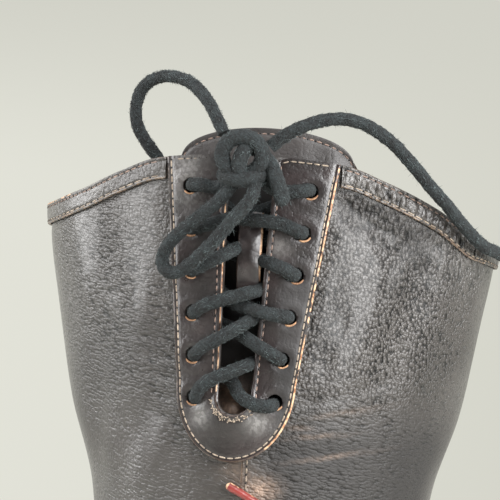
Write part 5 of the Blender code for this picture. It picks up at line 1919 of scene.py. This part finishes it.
# %% Stacked heel leather
heel_leather, tree, shader = new_material("heel_leather")
mottle = use_group(tree, mottle_group, {"Scale": 60.0})
spot = add(tree, "TexCoord").outputs["Object"]
layers = add(
    tree, "TexWave", {"Vector": spot, "Scale": 105.0, "Distortion": 1.2, "Detail": 2.0},
    bands_direction="Z",
).outputs["Fac"]
tone = mix(tree, mottle["Cloud"], (0.035, 0.024, 0.018), (0.085, 0.06, 0.044))
tree.links.new(mix(tree, ramp(tree, layers, 0.0, 0.5, 0.45, 0.0), tone, (0.015, 0.01, 0.008)),
               shader.inputs["Base Color"])
tree.links.new(ramp(tree, mottle["Speck"], 0.0, 1.0, 0.42, 0.52), shader.inputs["Roughness"])
bump = add(tree, "Bump", {"Height": layers, "Strength": 0.4, "Distance": 0.2 * MM})
tree.links.new(bump.outputs[0], shader.inputs["Normal"])
print("materials:", len(bpy.data.materials))

# %% Sole and insole
def bent_leaf(name, ys, edges, height, thickness, stuff, upward):
    """A sheet with the foot's outline, bent along it and given a thickness."""
    across = 28

    def place(i, j):
        y = ys[j]
        lateral_x, medial_x = edges(y)
        return Vector((lerp(lateral_x, medial_x, i / across), y, height(y)))

    bm = wrapped_grid(across, len(ys) - 1, place)
    bmesh.ops.remove_doubles(bm, verts=bm.verts, dist=0.01)
    made = new_piece(name, bm, [stuff])
    slab = made.modifiers.new("Slab", "SOLIDIFY")
    slab.thickness = thickness * MM
    slab.offset = 1.0 if upward else -1.0
    edge = made.modifiers.new("Edge", "BEVEL")
    edge.width, edge.segments, edge.limit_method = 0.7 * MM, 3, "ANGLE"
    edge.angle_limit = math.radians(60)
    return made


outsole = bent_leaf(
    "outsole_leaf", outline_ys(SOLE_MARGIN_FORE, SOLE_MARGIN_HEEL, 3.0, 20, 16),
    lambda y: feather_edges(y, sole_margin(y)), sole_top, SOLE_THICKNESS, sole_leather, False,
)
wear(outsole, "sole_leather", "outsole")
INSOLE_INSET = -(UPPER_WALL + INSOLE_CLEAR)
insole = bent_leaf(
    "insole_leaf", outline_ys(INSOLE_INSET, INSOLE_INSET, 3.0, 20, 16),
    lambda y: feather_edges(y, INSOLE_INSET), lambda y: sole_top(y) + GAP, INSOLE_THICKNESS,
    insole_leather, True,
)
wear(insole, "insole_leather", "insole")

# %% [markdown]
# ## The welt
# The welt is a narrow strip sewn to the upper's edge, and the sole is sewn to it from above. The
# strip builder runs it round the forepart from one side of the heel to the other, so its seam can
# be pressed in and its stitches laid in the groove.

# %% Welt
WELT_SEAM, WELT_LEAST = 2.0, 5.4
BREAST_Y = FEATHER_HEEL_Y - (HEEL_BREAST + 0.02) * FEATHER_LENGTH
welt_ys = [y for y in outline_ys(SOLE_MARGIN_FORE, SOLE_MARGIN_HEEL, 2.5, 24, 16) if y < BREAST_Y]
WELT_TOE_IN = FEATHER_HEEL_Y - FEATHER_LENGTH - WELT_INSET
welt_path = [(0, y) for y in welt_ys[::-1]] + [(1, y) for y in welt_ys[1:]]


def welt_place(at_path, across, lift):
    """Across goes from the welt's inner edge to its outer edge."""
    low = math.floor(at_path)
    ends = []
    for side, y in (welt_path[low], welt_path[min(low + 1, len(welt_path) - 1)]):
        inner_y = WELT_TOE_IN + (y - welt_ys[0]) * (BREAST_Y - WELT_TOE_IN) / (BREAST_Y - welt_ys[0])
        inner = Vector((feather_edges(inner_y, WELT_INSET)[side], inner_y, sole_top(inner_y)))
        outer = Vector((feather_edges(y, sole_margin(y))[side], y, sole_top(y)))
        ends.append(inner.lerp(outer, across) + Vector((0, 0, GAP + lift)))
    return ends[0].lerp(ends[1], at_path - low)


def welt_width(at_path):
    return max(WELT_LEAST, (welt_place(at_path, 0.0, 0.0) - welt_place(at_path, 1.0, 0.0)).length)


def welt_seam(t, lift):
    at_path = t * (len(welt_path) - 1)
    return welt_place(at_path, 1 - WELT_SEAM / welt_width(at_path), welt_thick - 0.25 + lift)


welt_thick = WELT_THICKNESS - GAP
welt = new_piece(
    "welt_strip",
    strip([float(k) for k in range(len(welt_path))], 1, welt_width, welt_place, welt_thick,
          lambda k, near, far: sewn(far, WELT_SEAM, 0.3, 0.6), lambda k, across: 0.0),
    [welt_leather],
)
wear(welt, "welt_leather", "welt")
welt_frames, _ = stitch_frames(surface_line(welt_seam, 700), 3.6, 0.78, 0.7)
wear(repeated("welt_stitches", small_bead(), welt_frames, dull_thread), "welt_leather")

# %% [markdown]
# ## The heel
# A leather heel is a stack of lifts on a wearing top piece. Each block could be a cube with many
# cuts, but a wall rolled round the heel's outline follows its round back and hollow breast, and a
# small groove between the rows shows where one lift lies on the next.

# %% Heel builder
BREAST_HOLLOW, BREAST_STEPS = 4.0, 12


def heel_outline(inset, pitch):
    """Outline of a heel lift: round behind, hollow at the breast."""
    breast = FEATHER_HEEL_Y - HEEL_BREAST * FEATHER_LENGTH + 4.0
    margin = SOLE_MARGIN_HEEL - inset
    stations = [y for y in outline_ys(margin, margin, 4.0, 14, 18) if y > breast + 3.0]
    ys = [breast] + stations
    rows = [feather_edges(y, margin) for y in ys]
    points = [(r[0], y) for r, y in zip(rows, ys)] + [(r[1], y) for r, y in zip(rows, ys)][-2::-1]
    middle_y, lean = FEATHER_HEEL_Y - 40.0, 1 - pitch / 70.0
    points = [(px, middle_y + (y - middle_y) * (lean if y > middle_y else 1.0)) for px, y in points]
    left, right = points[0], points[-1]
    for i in range(1, BREAST_STEPS):
        share = i / BREAST_STEPS
        points.append((
            lerp(right[0], left[0], share), right[1] + BREAST_HOLLOW * math.sin(math.pi * share)
        ))
    return points


def heel_block(name, bands, stuff):
    """A block from (z, inset) rows, closed above and below."""
    rings = [heel_outline(inset, HEEL_PITCH * (1 - z / HEEL_HEIGHT)) for z, inset in bands]
    around = len(rings[0])
    bm = wrapped_grid(
        around, len(bands) - 1,
        lambda i, j: Vector((*rings[j][i % around], bands[j][0])),
    )
    close_seams(bm)
    return new_piece(name, bm, [stuff], 35.0)


print("points round the heel:", len(heel_outline(0.0, HEEL_PITCH)))

# %% Heel
LIFTS = 4
LIFT_EDGE = (
    # share of a lift's height, groove
    (0.0, 0.35), (0.06, 0.05), (0.5, 0.0), (0.94, 0.05), (1.0, 0.35),
)
HEEL_INSET_LOW, HEEL_INSET_TOP = 1.6, 0.4
low_z, high_z = TOP_PIECE_HEIGHT + GAP, HEEL_HEIGHT - GAP
heel_bands = []
for n in range(LIFTS):
    for share, groove in LIFT_EDGE:
        up = (n + share) / LIFTS
        z_band = lerp(low_z, high_z, up) + (0.02 if share == 0.0 and n else 0.0)
        heel_bands.append((z_band, lerp(HEEL_INSET_LOW, HEEL_INSET_TOP, up) + groove))
wear(heel_block("heel_lifts", heel_bands, heel_leather), "heel_leather", "heel_stack")
tread_bands = [(0.0, 2.5), (0.5, 2.0), (3.5, 1.8), (6.5, 1.6), (TOP_PIECE_HEIGHT, 1.9)]
wear(heel_block("heel_tread", tread_bands, top_piece_rubber), "top_piece_rubber", "heel_top_piece")

# %% [markdown]
# ## Floor and light
# The boot stands on a plain pale floor under a pale sky. Two tall soft panels stand on each side,
# like windows that reach from below the collar upward, so the upper side of every wrinkle is lit
# and its lower side falls dark. One more panel overhead lights the lace and the toe. A picture of a
# room could light it too, but panels can be moved one by one.

# %% Floor
FLOOR_RADIUS = 2200.0
floor_stuff, tree, shader = new_material("pale_floor")
mottle = use_group(tree, mottle_group, {"Scale": 3.0})
tone = mix(tree, mottle["Cloud"], (0.60, 0.60, 0.55), (0.64, 0.64, 0.585))
tree.links.new(tone, shader.inputs["Base Color"])
shader.inputs["Roughness"].default_value = 0.8
floor_bm = bmesh.new()
bmesh.ops.create_circle(floor_bm, cap_ends=True, segments=96, radius=FLOOR_RADIUS)
floor = new_piece("floor", floor_bm, [floor_stuff])
print("floor, mm across:", 2 * FLOOR_RADIUS)

# %% Sky
world = bpy.data.worlds.new("Studio")
bpy.context.scene.world = world
world.use_nodes = True
tree = world.node_tree
direction = add(tree, "TexCoord").outputs["Generated"]
split = add(tree, "SeparateXYZ", {0: direction})
across_sky = ramp(tree, split.outputs["X"], -0.28, 0.10)
sky = mix(tree, across_sky, (0.76, 0.76, 0.685), (0.645, 0.645, 0.575))
sky = mix(tree, ramp(tree, split.outputs["Z"], 0.02, 0.13), sky, (0.635, 0.635, 0.57))
sky = mix(tree, ramp(tree, split.outputs["Y"], 0.75, -0.1), sky, (0.13, 0.13, 0.13))
sky = mix(tree, ramp(tree, split.outputs["Z"], 0.35, 0.85), sky, (0.9, 0.9, 0.9))
tree.links.new(sky, tree.nodes["Background"].inputs["Color"])
tree.nodes["Background"].inputs["Strength"].default_value = 1.0
print("sky nodes:", len(tree.nodes))

# %% Lamps
LAMP_TARGET = Vector((0, 0.02, 0.4))


def soft_lamp(name, degrees, distance, height, wide, tall, power):
    """A tall soft panel, by its angle round from the boot's front and its height."""
    data = bpy.data.lights.new(name, "AREA")
    data.shape, data.size, data.size_y, data.energy = "RECTANGLE", wide, tall, power
    lamp = bpy.data.objects.new(name, data)
    bpy.context.collection.objects.link(lamp)
    angle = math.radians(degrees)
    place = Vector((math.sin(angle) * distance, -math.cos(angle) * distance, height))
    lamp.location = place
    lamp.rotation_euler = (LAMP_TARGET - place).to_track_quat("-Z", "Y").to_euler()


for name, degrees, power in (
    ("left_window", -62.0, 6.8),
    ("left_door", -100.0, 6.0),
    ("right_window", 46.0, 13.5),
    ("right_door", 80.0, 7.5),
):
    soft_lamp(name, degrees, distance=0.8, height=0.62, wide=0.32, tall=0.70, power=power)
soft_lamp("top_window", -10.0, distance=0.7, height=1.5, wide=0.7, tall=0.7, power=9.0)
print("lamps:", len(bpy.data.lights))
